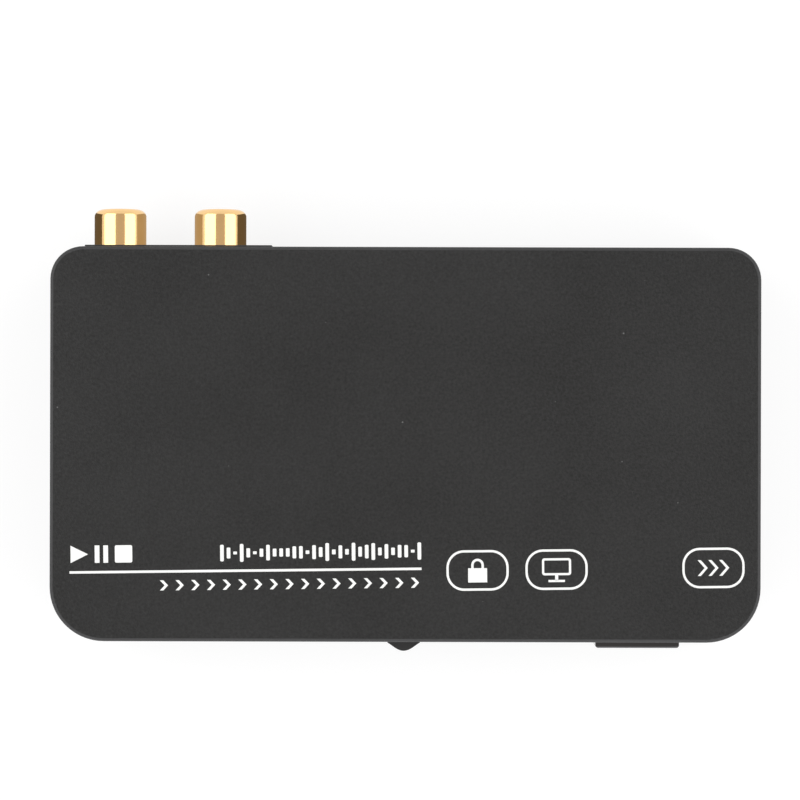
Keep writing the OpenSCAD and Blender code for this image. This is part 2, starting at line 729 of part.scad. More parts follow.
module bottom_shell() {
    color([0.235, 0.24, 0.25]) difference() {
        union() {
            difference() {
                case_block(0, z_under, z_joint, bottom_edge_r, 0);
                case_block(wall_t, z_floor, z_joint + cut, 0, 0);
                difference() {
                    block(-x_side - cut, x_side + cut, y_front - cut, y_rear + cut,
                        z_joint - groove_h, z_joint + cut);
                    case_block(groove_d, z_joint - groove_h - cut, z_joint + 2 * cut, 0, 0);
                }
            }
            difference() {
                case_block(wall_t - lip_t, z_joint - groove_h, z_lip, 0, 0);
                case_block(wall_t, z_joint - groove_h - cut, z_lip + cut, 0, 0);
                rear_windows(z_joint);
                front_windows(z_joint);
            }
            at_bosses() translate([0, 0, z_floor - cut])
                cylinder(d = lower_boss_d, h = z_joint - z_floor + cut);
            at_board_screws() translate([0, 0, z_floor - cut])
                cylinder(d = standoff_d, h = standoff_h + cut);
            boss_ribs(z_floor - cut, z_board - standoff_h / 4);
            for (side = [-1, 1]) translate([0, side * floor_rib_y, z_floor + floor_rib_h / 2])
                cube([2 * x_side_in + rib_t, rib_t, floor_rib_h], center = true);
        }
        at_bosses() {
            translate([0, 0, z_under - cut]) cylinder(d = counterbore_d, h = case_screw_sunk + cut);
            translate([0, 0, z_under]) cylinder(d = case_screw_d + 2 * screw_gap, h = z_lip);
        }
        at_board_screws() translate([0, 0, z_floor - floor_t / 2])
            cylinder(d = board_screw_d + 2 * thread_gap, h = standoff_h + floor_t);
        at_feet() translate([0, 0, z_under - cut])
            cylinder(d = foot_d + 2 * foot_gap, h = foot_sunk + cut);
        for (i = [0 : vent_count - 1])
            translate([(i - (vent_count - 1) / 2) * vent_pitch, 0, 0]) vent_slot();
    }
}

// A pan-headed screw that points up, its head's seat at height zero
module screw(shank_d, shank_l, head_d, head_h) {
    edge = head_h / 4;
    difference() {
        union() {
            translate([0, 0, -head_h]) cylinder(d1 = head_d - 2 * edge, d2 = head_d, h = edge);
            translate([0, 0, edge - head_h]) cylinder(d = head_d, h = head_h - edge);
            cylinder(d = shank_d, h = shank_l - shank_d / 2);
            translate([0, 0, shank_l - shank_d / 2])
                cylinder(d1 = shank_d, d2 = shank_d / 3, h = shank_d / 2);
        }
        for (turn = [0, 90]) rotate([0, 0, turn])
            translate([-head_d * drive_l_share / 2, -head_d * drive_w_share / 2, -head_h - cut])
                cube([head_d * drive_l_share, head_d * drive_w_share,
                    head_h * drive_depth_share + cut]);
    }
}

module case_screws() {
    color([0.2, 0.2, 0.21]) at_bosses() translate([0, 0, z_head_seat])
        screw(case_screw_d, case_screw_l, case_screw_head_d, case_screw_head_h);
}

module rubber_feet() {
    color([0.09, 0.09, 0.09]) at_feet() {
        cylinder(d1 = foot_d - 2 * foot_chamfer, d2 = foot_d, h = foot_chamfer);
        translate([0, 0, foot_chamfer])
            cylinder(d = foot_d, h = foot_h + foot_sunk - foot_chamfer);
    }
}

// A rectangular hole through the board
module board_slot(x, y, w, l)
    block(x - w / 2 - leg_gap, x + w / 2 + leg_gap, y - l / 2 - leg_gap, y + l / 2 + leg_gap,
        z_board - cut, z_top + cut);

module circuit_board() {
    color([0.05, 0.25, 0.12]) difference() {
        block(-board_x, board_x, -board_y, board_y, z_board, z_top);
        for (side = [-1, 1]) {
            x = side * board_x;
            translate([x, -board_y, z_board - cut]) rotate([0, 0, 45])
                cube([board_corner_r, board_corner_r, 2 * board_t + 2 * cut], center = true);
            translate([x, board_y, z_board - cut]) rotate([0, 0, 45])
                cube([board_corner_r / 2, board_corner_r / 2, 2 * board_t + 2 * cut],
                    center = true);
        }
        for (side = [-1, 1], y = [boss_front_y, boss_rear_y]) {
            translate([side * boss_x, y, z_board - cut])
                cylinder(r = boss_notch_r, h = board_t + 2 * cut);
            translate([side * (boss_x + board_gap + wall_t), y, z_board + board_t / 2])
                cube([2 * (board_gap + wall_t), 2 * boss_notch_r, board_t + 2 * cut],
                    center = true);
        }
        at_board_screws() translate([0, 0, z_board - cut])
            cylinder(d = board_hole_d, h = board_t + 2 * cut);
        for (x = rca_xs) translate([x, rca_peg_y, z_board - cut])
            cylinder(d = rca_peg_d + 2 * leg_gap, h = board_t + 2 * cut);
        for (x = [hdmi_input_x, hdmi_output_x], side = [-1, 1], share = hdmi_leg_shares)
            board_slot(x + side * hdmi_leg_x, hdmi_leg_y(share), hdmi_sheet, hdmi_leg_w);
        board_slot(power_x, power_pin_y, power_blade_w, power_blade_t);
        board_slot(power_x, power_leaf_y, power_blade_w, power_blade_t);
        for (side = [-1, 1], share = phones_tab_shares)
            board_slot(phones_x + side * phones_tab_x, phones_tab_y(share), phones_tab_t,
                phones_tab_w);
        for (i = [-1, 0, 1]) translate([switch_x + i * switch_pin_pitch, switch_mid_y, z_board - cut])
            cylinder(d = switch_pin_d + 2 * leg_gap, h = board_t + 2 * cut);
        for (side = [-1, 1])
            board_slot(switch_x + side * switch_leg_x, switch_mid_y, switch_sheet, switch_leg_w);
        for (i = [-1, 0, 1])
            board_slot(optical_x + i * optical_leg_pitch, optical_leg_y, optical_leg_w,
                optical_leg_w);
    }
}

module board_screws() {
    color([0.7, 0.7, 0.72]) at_board_screws() translate([0, 0, z_top]) mirror([0, 0, 1])
        screw(board_screw_d, board_screw_l + board_t, board_screw_head_d, board_screw_head_h);
}

// Places of the pegs, legs and blades that pass through the board
rca_peg_y = rca_back_y + rca_peg_d;
hdmi_leg_x = hdmi_w / 2 + hdmi_sheet / 2;
function hdmi_leg_y(share) = hdmi_back_y + hdmi_d * share;
power_pin_y = power_back_y + power_blade_t;
power_leaf_y = power_back_y + power_d * power_leaf_share;
phones_tab_x = phones_w / 2 + phones_tab_t / 2;
function phones_tab_y(share) = phones_face_y + (phones_back_y - phones_face_y) * share;
switch_mid_y = (switch_can_front_y + switch_can_back_y) / 2;
switch_leg_x = switch_can_w / 2 - switch_sheet / 2;
optical_leg_y = optical_back_y - optical_leg_w;

// The moulding that carries both phono sockets: a face plate with a block behind each socket
module rca_housing() {
    color([0.05, 0.05, 0.055]) difference() {
        union() {
            block(rca_mid_x - rca_plate_left, rca_mid_x + rca_plate_right,
                rca_face_y - rca_plate_t, rca_face_y, z_top, z_top + rca_h);
            for (x = rca_xs) {
                block(x - rca_block_w / 2, x + rca_block_w / 2, rca_back_y,
                    rca_face_y - rca_plate_t, z_top, z_top + rca_h);
                translate([x, rca_peg_y, z_board - leg_drop])
                    cylinder(d = rca_peg_d, h = board_t + leg_drop + cut);
            }
            block(rca_mid_x - rca_pitch / 2, rca_mid_x + rca_pitch / 2, rca_back_y,
                rca_face_y - rca_plate_t, z_top, z_top + rca_axis_h / 2);
        }
        for (x = rca_xs) {
            rod(x, rca_z, rca_tail_d + 2 * rca_tail_gap, rca_tail_y, rca_face_y + cut);
            rod(x, rca_z, rca_contact_d + 2 * rca_tail_gap, rca_contact_y - rca_contact_l,
                rca_face_y);
        }
    }
}

// A plated sleeve: a thin tube whose mouth rolls inwards, and a thinner tail that sits in the housing
module rca_sleeve(x) {
    lip_z = rca_end_y - rca_face_y - rca_lip_l;
    roll = [for (i = [0 : rca_lip_steps])
        let (turn = 90 * i / rca_lip_steps)
        [rca_mouth_d / 2 + rca_lip_w * cos(turn), lip_z + rca_lip_l * sin(turn)]];
    color([0.83, 0.66, 0.36]) translate([x, rca_face_y, rca_z]) rotate([-90, 0, 0])
        rotate_extrude() {
            translate([rca_bore_d / 2, 0]) square([rca_sheet, lip_z]);
            translate([rca_tail_d / 2 - rca_sheet, -rca_tail_l])
                square([rca_sheet, rca_tail_l + rca_sheet]);
            polygon(concat(roll, [[rca_mouth_d / 2, lip_z + rca_lip_l - rca_sheet],
                [rca_bore_d / 2, lip_z]]));
        }
}

module rca_sleeve_left() { rca_sleeve(rca_xs[0]); }
module rca_sleeve_right() { rca_sleeve(rca_xs[1]); }

// The coloured insulator: a stepped plug inside the sleeve, with a funnel that leads to the contact
module rca_insulator(x) {
    step_l = rca_lip_l + 2 * rca_tail_gap - rca_recess;
    translate([x, 0, rca_z]) difference() {
        union() {
            rod(0, 0, rca_insulator_d, rca_tail_y, rca_insulator_y - max(step_l, 0));
            if (step_l > 0)
                rod(0, 0, rca_insulator_front_d, rca_tail_y, rca_insulator_y);
        }
        rod(0, 0, rca_contact_d + 2 * rca_tail_gap, rca_tail_y - cut, rca_contact_y);
        rod(0, 0, rca_contact_bore + 2 * rca_tail_gap, rca_tail_y - cut, rca_insulator_y + cut);
        translate([0, rca_insulator_y - rca_lead_in, 0]) rotate([-90, 0, 0])
            cylinder(d1 = rca_contact_bore + 2 * rca_tail_gap,
                d2 = rca_contact_bore + 2 * rca_tail_gap + 2 * rca_lead_in, h = rca_lead_in);
    }
}

module rca_insulator_left() { color([0.92, 0.91, 0.88]) rca_insulator(rca_xs[0]); }
module rca_insulator_right() { color([0.72, 0.05, 0.06]) rca_insulator(rca_xs[1]); }

// The centre contact: a split-free plated tube that grips the plug's pin
module rca_contact(x) {
    color([0.83, 0.66, 0.36]) translate([x, 0, rca_z]) difference() {
        rod(0, 0, rca_contact_d, rca_contact_y - rca_contact_l, rca_contact_y);
        rod(0, 0, rca_contact_bore, rca_contact_y - rca_contact_l - cut, rca_contact_y + cut);
    }
}

module rca_contact_left() { rca_contact(rca_xs[0]); }
module rca_contact_right() { rca_contact(rca_xs[1]); }

// Outline of an HDMI opening, grown by grow: flat top, two slanted lower corners
module hdmi_outline(grow) {
    w = hdmi_w / 2 + grow;
    slant = hdmi_slant + grow * hdmi_miter_share;
    polygon([[-w + slant, -grow], [w - slant, -grow], [w, slant - grow], [w, hdmi_h + grow],
        [-w, hdmi_h + grow], [-w, slant - grow]]);
}

// The outline swept from y0 to y1, with its opening's lower edge at the board
module hdmi_sweep(grow, y0, y1)
    translate([0, y1, hdmi_open_z]) rotate([90, 0, 0]) linear_extrude(height = y1 - y0)
        hdmi_outline(grow);

// A folded metal shell with a turned-out lip, two spring leaves in its roof and four legs
module hdmi_shell(x) {
    color([0.72, 0.72, 0.74]) translate([x, 0, 0]) {
        difference() {
            union() {
                hdmi_sweep(hdmi_sheet, hdmi_back_y, hdmi_mouth_y);
                difference() {
                    hdmi_sweep(hdmi_sheet + hdmi_lip, hdmi_mouth_y - hdmi_lip_l, hdmi_mouth_y);
                    block(-hdmi_w, hdmi_w, hdmi_back_y, hdmi_mouth_y + cut, z_board, z_top);
                }
            }
            hdmi_sweep(0, hdmi_back_y - cut, hdmi_mouth_y + cut);
            for (side = [-1, 1]) translate([side * hdmi_leaf_x, 0, 0]) hdmi_leaf_window();
        }
        for (side = [-1, 1]) translate([side * hdmi_leaf_x, 0, 0]) hdmi_leaf();
        for (side = [-1, 1], share = hdmi_leg_shares)
            translate([side * hdmi_leg_x, hdmi_leg_y(share), 0])
                block(-hdmi_sheet / 2, hdmi_sheet / 2, -hdmi_leg_w / 2, hdmi_leg_w / 2,
                    z_board - leg_drop, hdmi_open_z + hdmi_h / 2);
    }
}

// The window in the shell's roof that a spring leaf is cut from
module hdmi_leaf_window()
    block(-hdmi_leaf_w / 2 - hdmi_slot_w, hdmi_leaf_w / 2 + hdmi_slot_w, hdmi_leaf_y0, hdmi_leaf_y1,
        hdmi_roof_z - hdmi_sheet, hdmi_roof_z + 2 * hdmi_sheet);

// A spring leaf: it leaves the roof at its rear end, dips into the opening and rises to its tip
module hdmi_leaf() {
    knee_y = hdmi_leaf_y0 + hdmi_leaf_l * hdmi_knee_share;
    tip_y = hdmi_leaf_y1 - hdmi_slot_w;
    tip_z = hdmi_roof_z - hdmi_leaf_dip / 3;
    translate([-hdmi_leaf_w / 2, 0, 0]) rotate([90, 0, 90]) linear_extrude(height = hdmi_leaf_w)
        polygon([[hdmi_leaf_y0 - hdmi_sheet, hdmi_roof_z], [hdmi_leaf_y0, hdmi_roof_z],
            [knee_y, hdmi_roof_z - hdmi_leaf_dip], [tip_y, tip_z], [tip_y, tip_z + hdmi_sheet],
            [knee_y, hdmi_roof_z - hdmi_leaf_dip + hdmi_sheet],
            [hdmi_leaf_y0, hdmi_roof_z + hdmi_sheet],
            [hdmi_leaf_y0 - hdmi_sheet, hdmi_roof_z + hdmi_sheet]]);
}

// The places of the contacts: ten in the upper row and nine between them in the lower row
hdmi_top_xs = [for (i = [0 : hdmi_top_row - 1]) (i - (hdmi_top_row - 1) / 2) * hdmi_contact_pitch];
hdmi_low_xs = [for (i = [0 : hdmi_low_row - 1]) (i - (hdmi_low_row - 1) / 2) * hdmi_contact_pitch];
hdmi_tip_y = hdmi_mouth_y - hdmi_tongue_recess;
hdmi_root_y = hdmi_mouth_y - hdmi_plug_depth;

// The strips that the contacts fill, above and below the tongue; grow widens them for their grooves
module hdmi_strips(grow) {
    y1 = hdmi_tip_y - hdmi_contact_tip;
    for (x = hdmi_top_xs) {
        z = hdmi_tongue_z + hdmi_tongue_t / 2 - hdmi_contact_sunk;
        block(x - hdmi_contact_w / 2 - grow, x + hdmi_contact_w / 2 + grow, hdmi_root_y, y1 + grow,
            z, z + hdmi_contact_t);
    }
    for (x = hdmi_low_xs) {
        z = hdmi_tongue_z - hdmi_tongue_t / 2 + hdmi_contact_sunk;
        block(x - hdmi_contact_w / 2 - grow, x + hdmi_contact_w / 2 + grow, hdmi_root_y, y1 + grow,
            z - hdmi_contact_t, z);
    }
}

// The moulded insert: a block that closes the shell's back and a tongue with grooves
module hdmi_tongue(x) {
    tip = hdmi_tongue_t / 4;
    color([0.06, 0.06, 0.065]) translate([x, 0, 0]) difference() {
        union() {
            hdmi_sweep(-leg_gap / 2, hdmi_back_y, hdmi_root_y);
            block(-hdmi_tongue_w / 2, hdmi_tongue_w / 2, hdmi_root_y, hdmi_tip_y,
                hdmi_tongue_z - hdmi_tongue_t / 2, hdmi_tongue_z + hdmi_tongue_t / 2);
        }
        hdmi_strips(leg_gap / 4);
        for (side = [-1, 1]) translate([0, hdmi_tip_y, hdmi_tongue_z + side * hdmi_tongue_t / 2])
            rotate([45, 0, 0]) cube([hdmi_w, tip, tip], center = true);
    }
}

// The contacts on the tongue, and their tails on the board behind the shell
module hdmi_contacts(x) {
    color([0.85, 0.68, 0.35]) translate([x, 0, 0]) {
        hdmi_strips(0);
        for (tail_x = concat(hdmi_top_xs, hdmi_low_xs))
            block(tail_x - hdmi_contact_w / 2, tail_x + hdmi_contact_w / 2,
                hdmi_back_y - hdmi_tail_l, hdmi_back_y, z_top, z_top + hdmi_contact_t);
    }
}

module hdmi_input_shell() { hdmi_shell(hdmi_input_x); }
module hdmi_input_tongue() { hdmi_tongue(hdmi_input_x); }
module hdmi_input_contacts() { hdmi_contacts(hdmi_input_x); }
module hdmi_output_shell() { hdmi_shell(hdmi_output_x); }
module hdmi_output_tongue() { hdmi_tongue(hdmi_output_x); }
module hdmi_output_contacts() { hdmi_contacts(hdmi_output_x); }

// The block's section behind its flange: a rectangle with slanted upper corners
module power_section() {
    half = power_w / 2;
    polygon([[-half, 0], [half, 0], [half, power_h - power_shoulder],
        [half - power_shoulder, power_h], [power_shoulder - half, power_h],
        [-half, power_h - power_shoulder]]);
}

// The cone that chamfers the mouth of a bore along Y; out is 1 towards the rear and -1 to the front
module lead_in(x, z, bore_d, chamfer, mouth_y, out)
    translate([x, mouth_y - out * chamfer, z]) rotate([-90 * out, 0, 0])
        cylinder(d1 = bore_d, d2 = bore_d + 4 * chamfer, h = 2 * chamfer);

// The power socket: a block on the board whose round nose fills the hole in the wall
module power_jack_body() {
    bore_y = power_nose_y - power_bore_l;
    color([0.05, 0.05, 0.055]) difference() {
        union() {
            block(power_x - power_w / 2, power_x + power_w / 2, power_face_y - power_flange_t,
                power_face_y, z_top, z_top + power_h);
            translate([power_x, power_face_y - power_flange_t, z_top]) rotate([90, 0, 0])
                linear_extrude(height = power_d - power_flange_t) power_section();
            rod(power_x, power_z, power_nose_d, power_face_y - cut, power_nose_y);
        }
        rod(power_x, power_z, power_bore_d, bore_y, power_nose_y + cut);
        lead_in(power_x, power_z, power_bore_d, power_lead_in, power_nose_y, 1);
        rod(power_x, power_z, power_pin_d, bore_y - power_pin_back_l, bore_y + cut);
        block(power_x - power_leaf_w / 2 - leg_gap, power_x + power_leaf_w / 2 + leg_gap,
            power_leaf_y - power_blade_t, power_leaf_y + power_leaf_l + leg_gap, z_top - cut,
            power_z - power_bore_d / 4);
    }
}

// The centre pin, with a round tip
module power_jack_pin() {
    bore_y = power_nose_y - power_bore_l;
    tip_y = power_nose_y - power_pin_setback - power_pin_d / 2;
    color([0.75, 0.75, 0.77]) {
        rod(power_x, power_z, power_pin_d, bore_y - power_pin_back_l, tip_y);
        translate([power_x, tip_y, power_z]) sphere(d = power_pin_d);
    }
}

// The leaf that presses on the plug's barrel, and its blade through the board
module power_jack_leaf() {
    z_leaf = power_z - power_bore_d / 2 - power_leaf_t;
    color([0.75, 0.75, 0.77]) translate([power_x, 0, 0]) {
        block(-power_leaf_w / 2, power_leaf_w / 2, power_leaf_y - power_blade_t / 2,
            power_leaf_y + power_leaf_l, z_leaf, z_leaf + power_leaf_t);
        block(-power_leaf_w / 2, power_leaf_w / 2, power_leaf_y - power_blade_t / 2,
            power_leaf_y + power_blade_t / 2, z_board - leg_drop, z_leaf + power_leaf_t);
    }
}

// The headphone socket: a block with a round nose and one long bore
module headphone_jack_body() {
    color([0.05, 0.05, 0.055]) difference() {
        union() {
            block(phones_x - phones_w / 2, phones_x + phones_w / 2, phones_face_y, phones_back_y,
                z_top, z_top + phones_block_h);
            rod(phones_x, phones_z, phones_nose_d, phones_mouth_y, phones_face_y + cut);
        }
        rod(phones_x, phones_z, phones_bore_d, phones_mouth_y - cut,
            phones_mouth_y + phones_bore_l);
        lead_in(phones_x, phones_z, phones_bore_d, phones_lead_in, phones_mouth_y, -1);
    }
}

// The solder tabs that lie on the block's sides and pass through the board
module headphone_jack_tabs() {
    color([0.75, 0.75, 0.77])
        for (side = [-1, 1], share = phones_tab_shares)
            translate([phones_x + side * phones_tab_x, phones_tab_y(share), 0])
                block(-phones_tab_t / 2, phones_tab_t / 2, -phones_tab_w / 2, phones_tab_w / 2,
                    z_board - leg_drop, z_top + phones_tab_h);
}

// Clear rods that carry the light to the front wall, each with a collar behind the wall
module light_pipes() {
    color([0.85, 0.9, 0.92, 0.5]) for (x = light_xs) {
        rod(x, light_z, light_d, light_front_y, light_front_y + light_l);
        rod(x, light_z, light_flange_d, y_front_in, y_front_in + light_flange_t);
    }
}

// The light-emitting diodes that stand on the board behind the light pipes
module indicator_leds() {
    y0 = light_front_y + light_l + led_gap;
    color([0.9, 0.92, 0.88]) for (x = light_xs) {
        block(x - led_w / 2, x + led_w / 2, y0, y0 + led_w, z_top, light_z + led_w / 2);
    }
}

// The switch's moulded base with three pins through the board
module mode_switch_base() {
    color([0.35, 0.2, 0.1]) {
        block(switch_x - switch_can_w / 2 + switch_sheet, switch_x + switch_can_w / 2 - switch_sheet,
            switch_can_front_y, switch_can_back_y, z_top, switch_can_z);
        for (i = [-1, 0, 1])
            translate([switch_x + i * switch_pin_pitch, switch_mid_y, z_board - leg_drop])
                cylinder(d = switch_pin_d, h = board_t + leg_drop + switch_base_t / 2);
    }
}

// The folded can over the slider, open below, with a slot for the lever and a leg at each end
module mode_switch_can() {
    x0 = switch_x - switch_can_w / 2;
    x1 = switch_x + switch_can_w / 2;
    color([0.7, 0.7, 0.72]) {
        difference() {
            block(x0, x1, switch_can_front_y, switch_can_back_y, switch_can_z, switch_can_top);
            block(x0 + switch_sheet, x1 - switch_sheet, switch_can_front_y + switch_sheet,
                switch_can_back_y - switch_sheet, switch_can_z - cut,
                switch_can_top - switch_sheet);
            block(switch_x - switch_slot_w / 2, switch_x + switch_slot_w / 2,
                switch_can_front_y - cut, switch_can_front_y + switch_sheet + cut,
                switch_z - lever_h / 2 - 2 * slide_gap, switch_z + lever_h / 2 + 2 * slide_gap);
        }
        for (side = [-1, 1]) translate([switch_x + side * switch_leg_x, switch_mid_y, 0])
            block(-switch_sheet / 2, switch_sheet / 2, -switch_leg_w / 2, switch_leg_w / 2,
                z_board - leg_drop, switch_can_z + switch_sheet);
    }
}

// The slider inside the can, with the lever that reaches forward into the knob
module mode_switch_slider() {
    y0 = switch_can_front_y + switch_sheet + slide_gap;
    y1 = switch_can_back_y - switch_sheet - slide_gap;
    color([0.9, 0.9, 0.88]) {
        block(switch_x - switch_block_w / 2, switch_x + switch_block_w / 2, y0, y1,
            switch_can_z + slide_gap, switch_can_top - switch_sheet - slide_gap);
        block(switch_x - lever_w / 2, switch_x + lever_w / 2, knob_back_y - knob_pocket_l, y0 + cut,
            switch_z - lever_h / 2, switch_z + lever_h / 2);
    }
}

// The knob: a cover plate behind the wall and a crowned grip that passes through the slot
module mode_switch_knob() {
    rise = knob_reach - knob_shoulder;
    crown = [for (i = [0 : knob_steps])
        let (share = 2 * i / knob_steps - 1)
        [share * knob_w / 2, knob_shoulder + rise * pow(cos(90 * share), knob_power_share)]];
    color([0.06, 0.06, 0.065]) translate([switch_x, 0, switch_z]) difference() {
        union() {
            block(-knob_plate_w / 2, knob_plate_w / 2, knob_plate_y, knob_back_y,
                -knob_plate_h / 2, knob_plate_h / 2);
            translate([0, y_front, -knob_h / 2]) mirror([0, 1, 0]) linear_extrude(height = knob_h)
                polygon(concat([[knob_w / 2, -wall_t - slide_gap - knob_plate_t / 2],
                    [-knob_w / 2, -wall_t - slide_gap - knob_plate_t / 2]], crown));
        }
        block(-lever_w / 2 - knob_pocket_gap, lever_w / 2 + knob_pocket_gap,
            knob_back_y - knob_pocket_l, knob_back_y + cut,
            -lever_h / 2 - knob_pocket_gap, lever_h / 2 + knob_pocket_gap);
    }
}

// Plan of the optical housing: a rectangle whose two front corners are rounded
module optical_plan() {
    r = optical_corner_r;
    w = optical_w / 2;
    translate([-w + r, 0]) square([2 * (w - r), optical_d]);
    translate([-w, r]) square([2 * w, optical_d - r]);
    for (side = [-1, 1]) translate([side * (w - r), r]) circle(r = r);
}

// Side view of the housing, with its two front edges rounded
module optical_side() {
    r = optical_edge_r;
    translate([r, 0]) square([optical_d - r, optical_h]);
    translate([0, r]) square([optical_d, optical_h - 2 * r]);
    for (z = [r, optical_h - r]) translate([r, z]) circle(r = r);
}

// The housing's outer form: its plan and its side view together
module optical_block() {
    intersection() {
        linear_extrude(height = optical_h) optical_plan();
        translate([-optical_w / 2 - cut, 0, 0]) rotate([90, 0, 90])
            linear_extrude(height = optical_w + 2 * cut) optical_side();
    }
}

// The keyed mouth, with two slanted lower corners, grown by grow and cut from y0 to y1
module optical_mouth(grow, y0, y1) {
    m = optical_mouth_w / 2 + grow;
    slant = optical_chamfer + grow / 2;
    translate([0, y1, optical_mouth_z]) rotate([90, 0, 0]) linear_extrude(height = y1 - y0)
        polygon([[-m + slant, -grow], [m - slant, -grow], [m, slant - grow],
            [m, optical_mouth_h + grow], [-m, optical_mouth_h + grow], [-m, slant - grow]]);
}

// The optical socket: a moulded box with a keyed mouth, a pocket for the shutter and its bearings
module optical_socket_body() {
    w = optical_cavity_w / 2;
    inner_y = optical_front_y + optical_frame_t;
    color([0.03, 0.03, 0.035]) translate([optical_x, 0, 0]) difference() {
        union() {
            translate([0, optical_front_y, z_top]) optical_block();
            for (i = [-1, 0, 1])
                translate([i * optical_leg_pitch, optical_leg_y, z_board + board_t / 2])
                    cube([optical_leg_w, optical_leg_w, board_t + 2 * leg_drop], center = true);
        }
        optical_mouth(0, optical_front_y - cut, inner_y + cut);
        optical_mouth(optical_step_w, optical_front_y - cut, optical_front_y + optical_step_d);
        block(-w, w, inner_y, optical_cavity_back, optical_cavity_z, optical_cavity_top);
        rod(0, emitter_z, emitter_d, optical_cavity_back - cut, optical_back_y - emitter_back_wall);
        for (side = [-1, 1]) translate([side * w, shutter_y, shutter_z]) rotate([0, 90, 0])
            cylinder(d = trunnion_d + 2 * trunnion_gap,
                h = 2 * (trunnion_l + shutter_gap), center = true);
        for (side = [-1, 1]) translate([side * optical_w / 2, 0, 0])
            block(-optical_groove_d, optical_groove_d, y_front_in + optical_groove_w,
                y_front_in + 2 * optical_groove_w, z_top + optical_groove_w, z_top + optical_h + cut);
    }
}

// The shutter: a plate that hangs from two trunnions and closes the mouth from inside
module optical_shutter() {
    front = shutter_y - shutter_t / 2;
    pitch = optical_mouth_h / (shutter_grooves + 1);
    color([0.04, 0.04, 0.045]) translate([optical_x, 0, 0]) difference() {
        union() {
            block(-shutter_w / 2, shutter_w / 2, front, shutter_y + shutter_t / 2, shutter_low_z,
                shutter_z);
            translate([0, shutter_y, shutter_z]) rotate([0, 90, 0])
                cylinder(d = shutter_t, h = shutter_w, center = true);
            translate([0, shutter_y, shutter_z]) rotate([0, 90, 0])
                cylinder(d = trunnion_d, h = shutter_w + 2 * trunnion_l, center = true);
        }
        for (i = [1 : shutter_grooves])
            translate([0, front, optical_mouth_z + i * pitch])
                cube([optical_mouth_w * shutter_groove_share, shutter_t / 3, shutter_t / 2],
                    center = true);
    }
}

// The light emitter at the back of the socket: a ferrule with a lens at the bottom of its bore
module optical_emitter() {
    y1 = optical_back_y - emitter_back_wall;
    y0 = optical_cavity_back - emitter_bore_l / 2;
    color([0.12, 0.12, 0.13]) translate([optical_x, 0, emitter_z]) difference() {
        rod(0, 0, emitter_d - 2 * leg_gap, y0, y1);
        rod(0, 0, emitter_bore_d, y0 - cut, y0 + emitter_bore_l);
    }
}

// Places a part on the board by its shares of the board's half length and half width
module on_board(share)
    translate([board_x * share[0], board_y * share[1], z_top]) children();

// A bent lead that leaves a body's side along +X and stands on the board
module lead(shoulder_h) {
    bend = lead_reach * lead_shoulder_share;
    translate([0, lead_w / 2, 0]) rotate([90, 0, 0]) linear_extrude(height = lead_w)
        polygon([[-lead_t, shoulder_h], [bend - lead_t, shoulder_h], [bend - lead_t, 0],
            [lead_reach, 0], [lead_reach, lead_t], [bend, lead_t], [bend, shoulder_h + lead_t],
            [-lead_t, shoulder_h + lead_t]]);
}

// A row of leads along Y, on the +X side of a body that is w wide
module lead_row(w, count, pitch, shoulder_h)
    for (i = [0 : count - 1])
        translate([w / 2, (i - (count - 1) / 2) * pitch, 0]) lead(shoulder_h);

module video_chip() {
    color([0.08, 0.08, 0.085]) on_board(video_chip_share) difference() {
        translate([-video_chip_w / 2, -video_chip_w / 2, 0])
            cube([video_chip_w, video_chip_w, video_chip_h]);
        translate([-video_chip_w / 3, video_chip_w / 3, video_chip_h - lead_t / 2])
            cylinder(d = video_chip_w / 10, h = cut);
    }
}

module audio_chip() {
    color([0.08, 0.08, 0.085]) on_board(audio_chip_share) {
        translate([-audio_chip_w / 2, -audio_chip_l / 2, lead_t])
            cube([audio_chip_w, audio_chip_l, leaded_chip_h - lead_t]);
        for (turn = [0, 180]) rotate([0, 0, turn])
            lead_row(audio_chip_w, audio_lead_count,
                audio_chip_l / (audio_lead_count + audio_end_share), leaded_chip_h / 2);
    }
}

module controller_chip() {
    color([0.08, 0.08, 0.085]) on_board(controller_share) {
        translate([-controller_w / 2, -controller_w / 2, lead_t])
            cube([controller_w, controller_w, leaded_chip_h - lead_t]);
        for (turn = [0 : 90 : 270]) rotate([0, 0, turn])
            lead_row(controller_w, controller_lead_count,
                controller_w / (controller_lead_count + controller_end_share),
                leaded_chip_h / 2);
    }
}

module voltage_regulators() {
    color([0.08, 0.08, 0.085]) for (share = regulator_shares) on_board(share) {
        translate([-regulator_w / 2, -regulator_l / 2, lead_t])
            cube([regulator_w, regulator_l, regulator_h - lead_t]);
        lead_row(regulator_w, 3, regulator_lead_pitch, regulator_h / 2);
        translate([-regulator_w / 2 - lead_reach, -regulator_tab_w / 2, 0])
            cube([lead_reach + lead_t, regulator_tab_w, lead_t]);
        translate([-regulator_w / 2, -regulator_tab_w / 2, 0])
            cube([lead_t, regulator_tab_w, regulator_h / 2]);
    }
}

module inductors() {
    color([0.25, 0.25, 0.26]) for (share = inductor_shares) on_board(share) {
        corner = inductor_w / 5;
        half = inductor_w / 2;
        linear_extrude(height = inductor_h)
            polygon([[-half + corner, -half], [half - corner, -half], [half, corner - half],
                [half, half - corner], [half - corner, half], [corner - half, half],
                [-half, half - corner], [-half, corner - half]]);
    }
}

// Aluminium cans with a waist above their square bases
module electrolytic_capacitors() {
    color([0.75, 0.75, 0.77]) for (place = can_places) translate([place[0], place[1], z_top]) {
        base = can_d * can_base_share;
        translate([-base / 2, -base / 2, 0]) cube([base, base, can_base_h]);
        cylinder(d = can_d * can_waist_share, h = can_h);
        translate([0, 0, can_base_h + can_waist_h])
            cylinder(d = can_d, h = can_h - can_base_h - can_waist_h);
    }
}

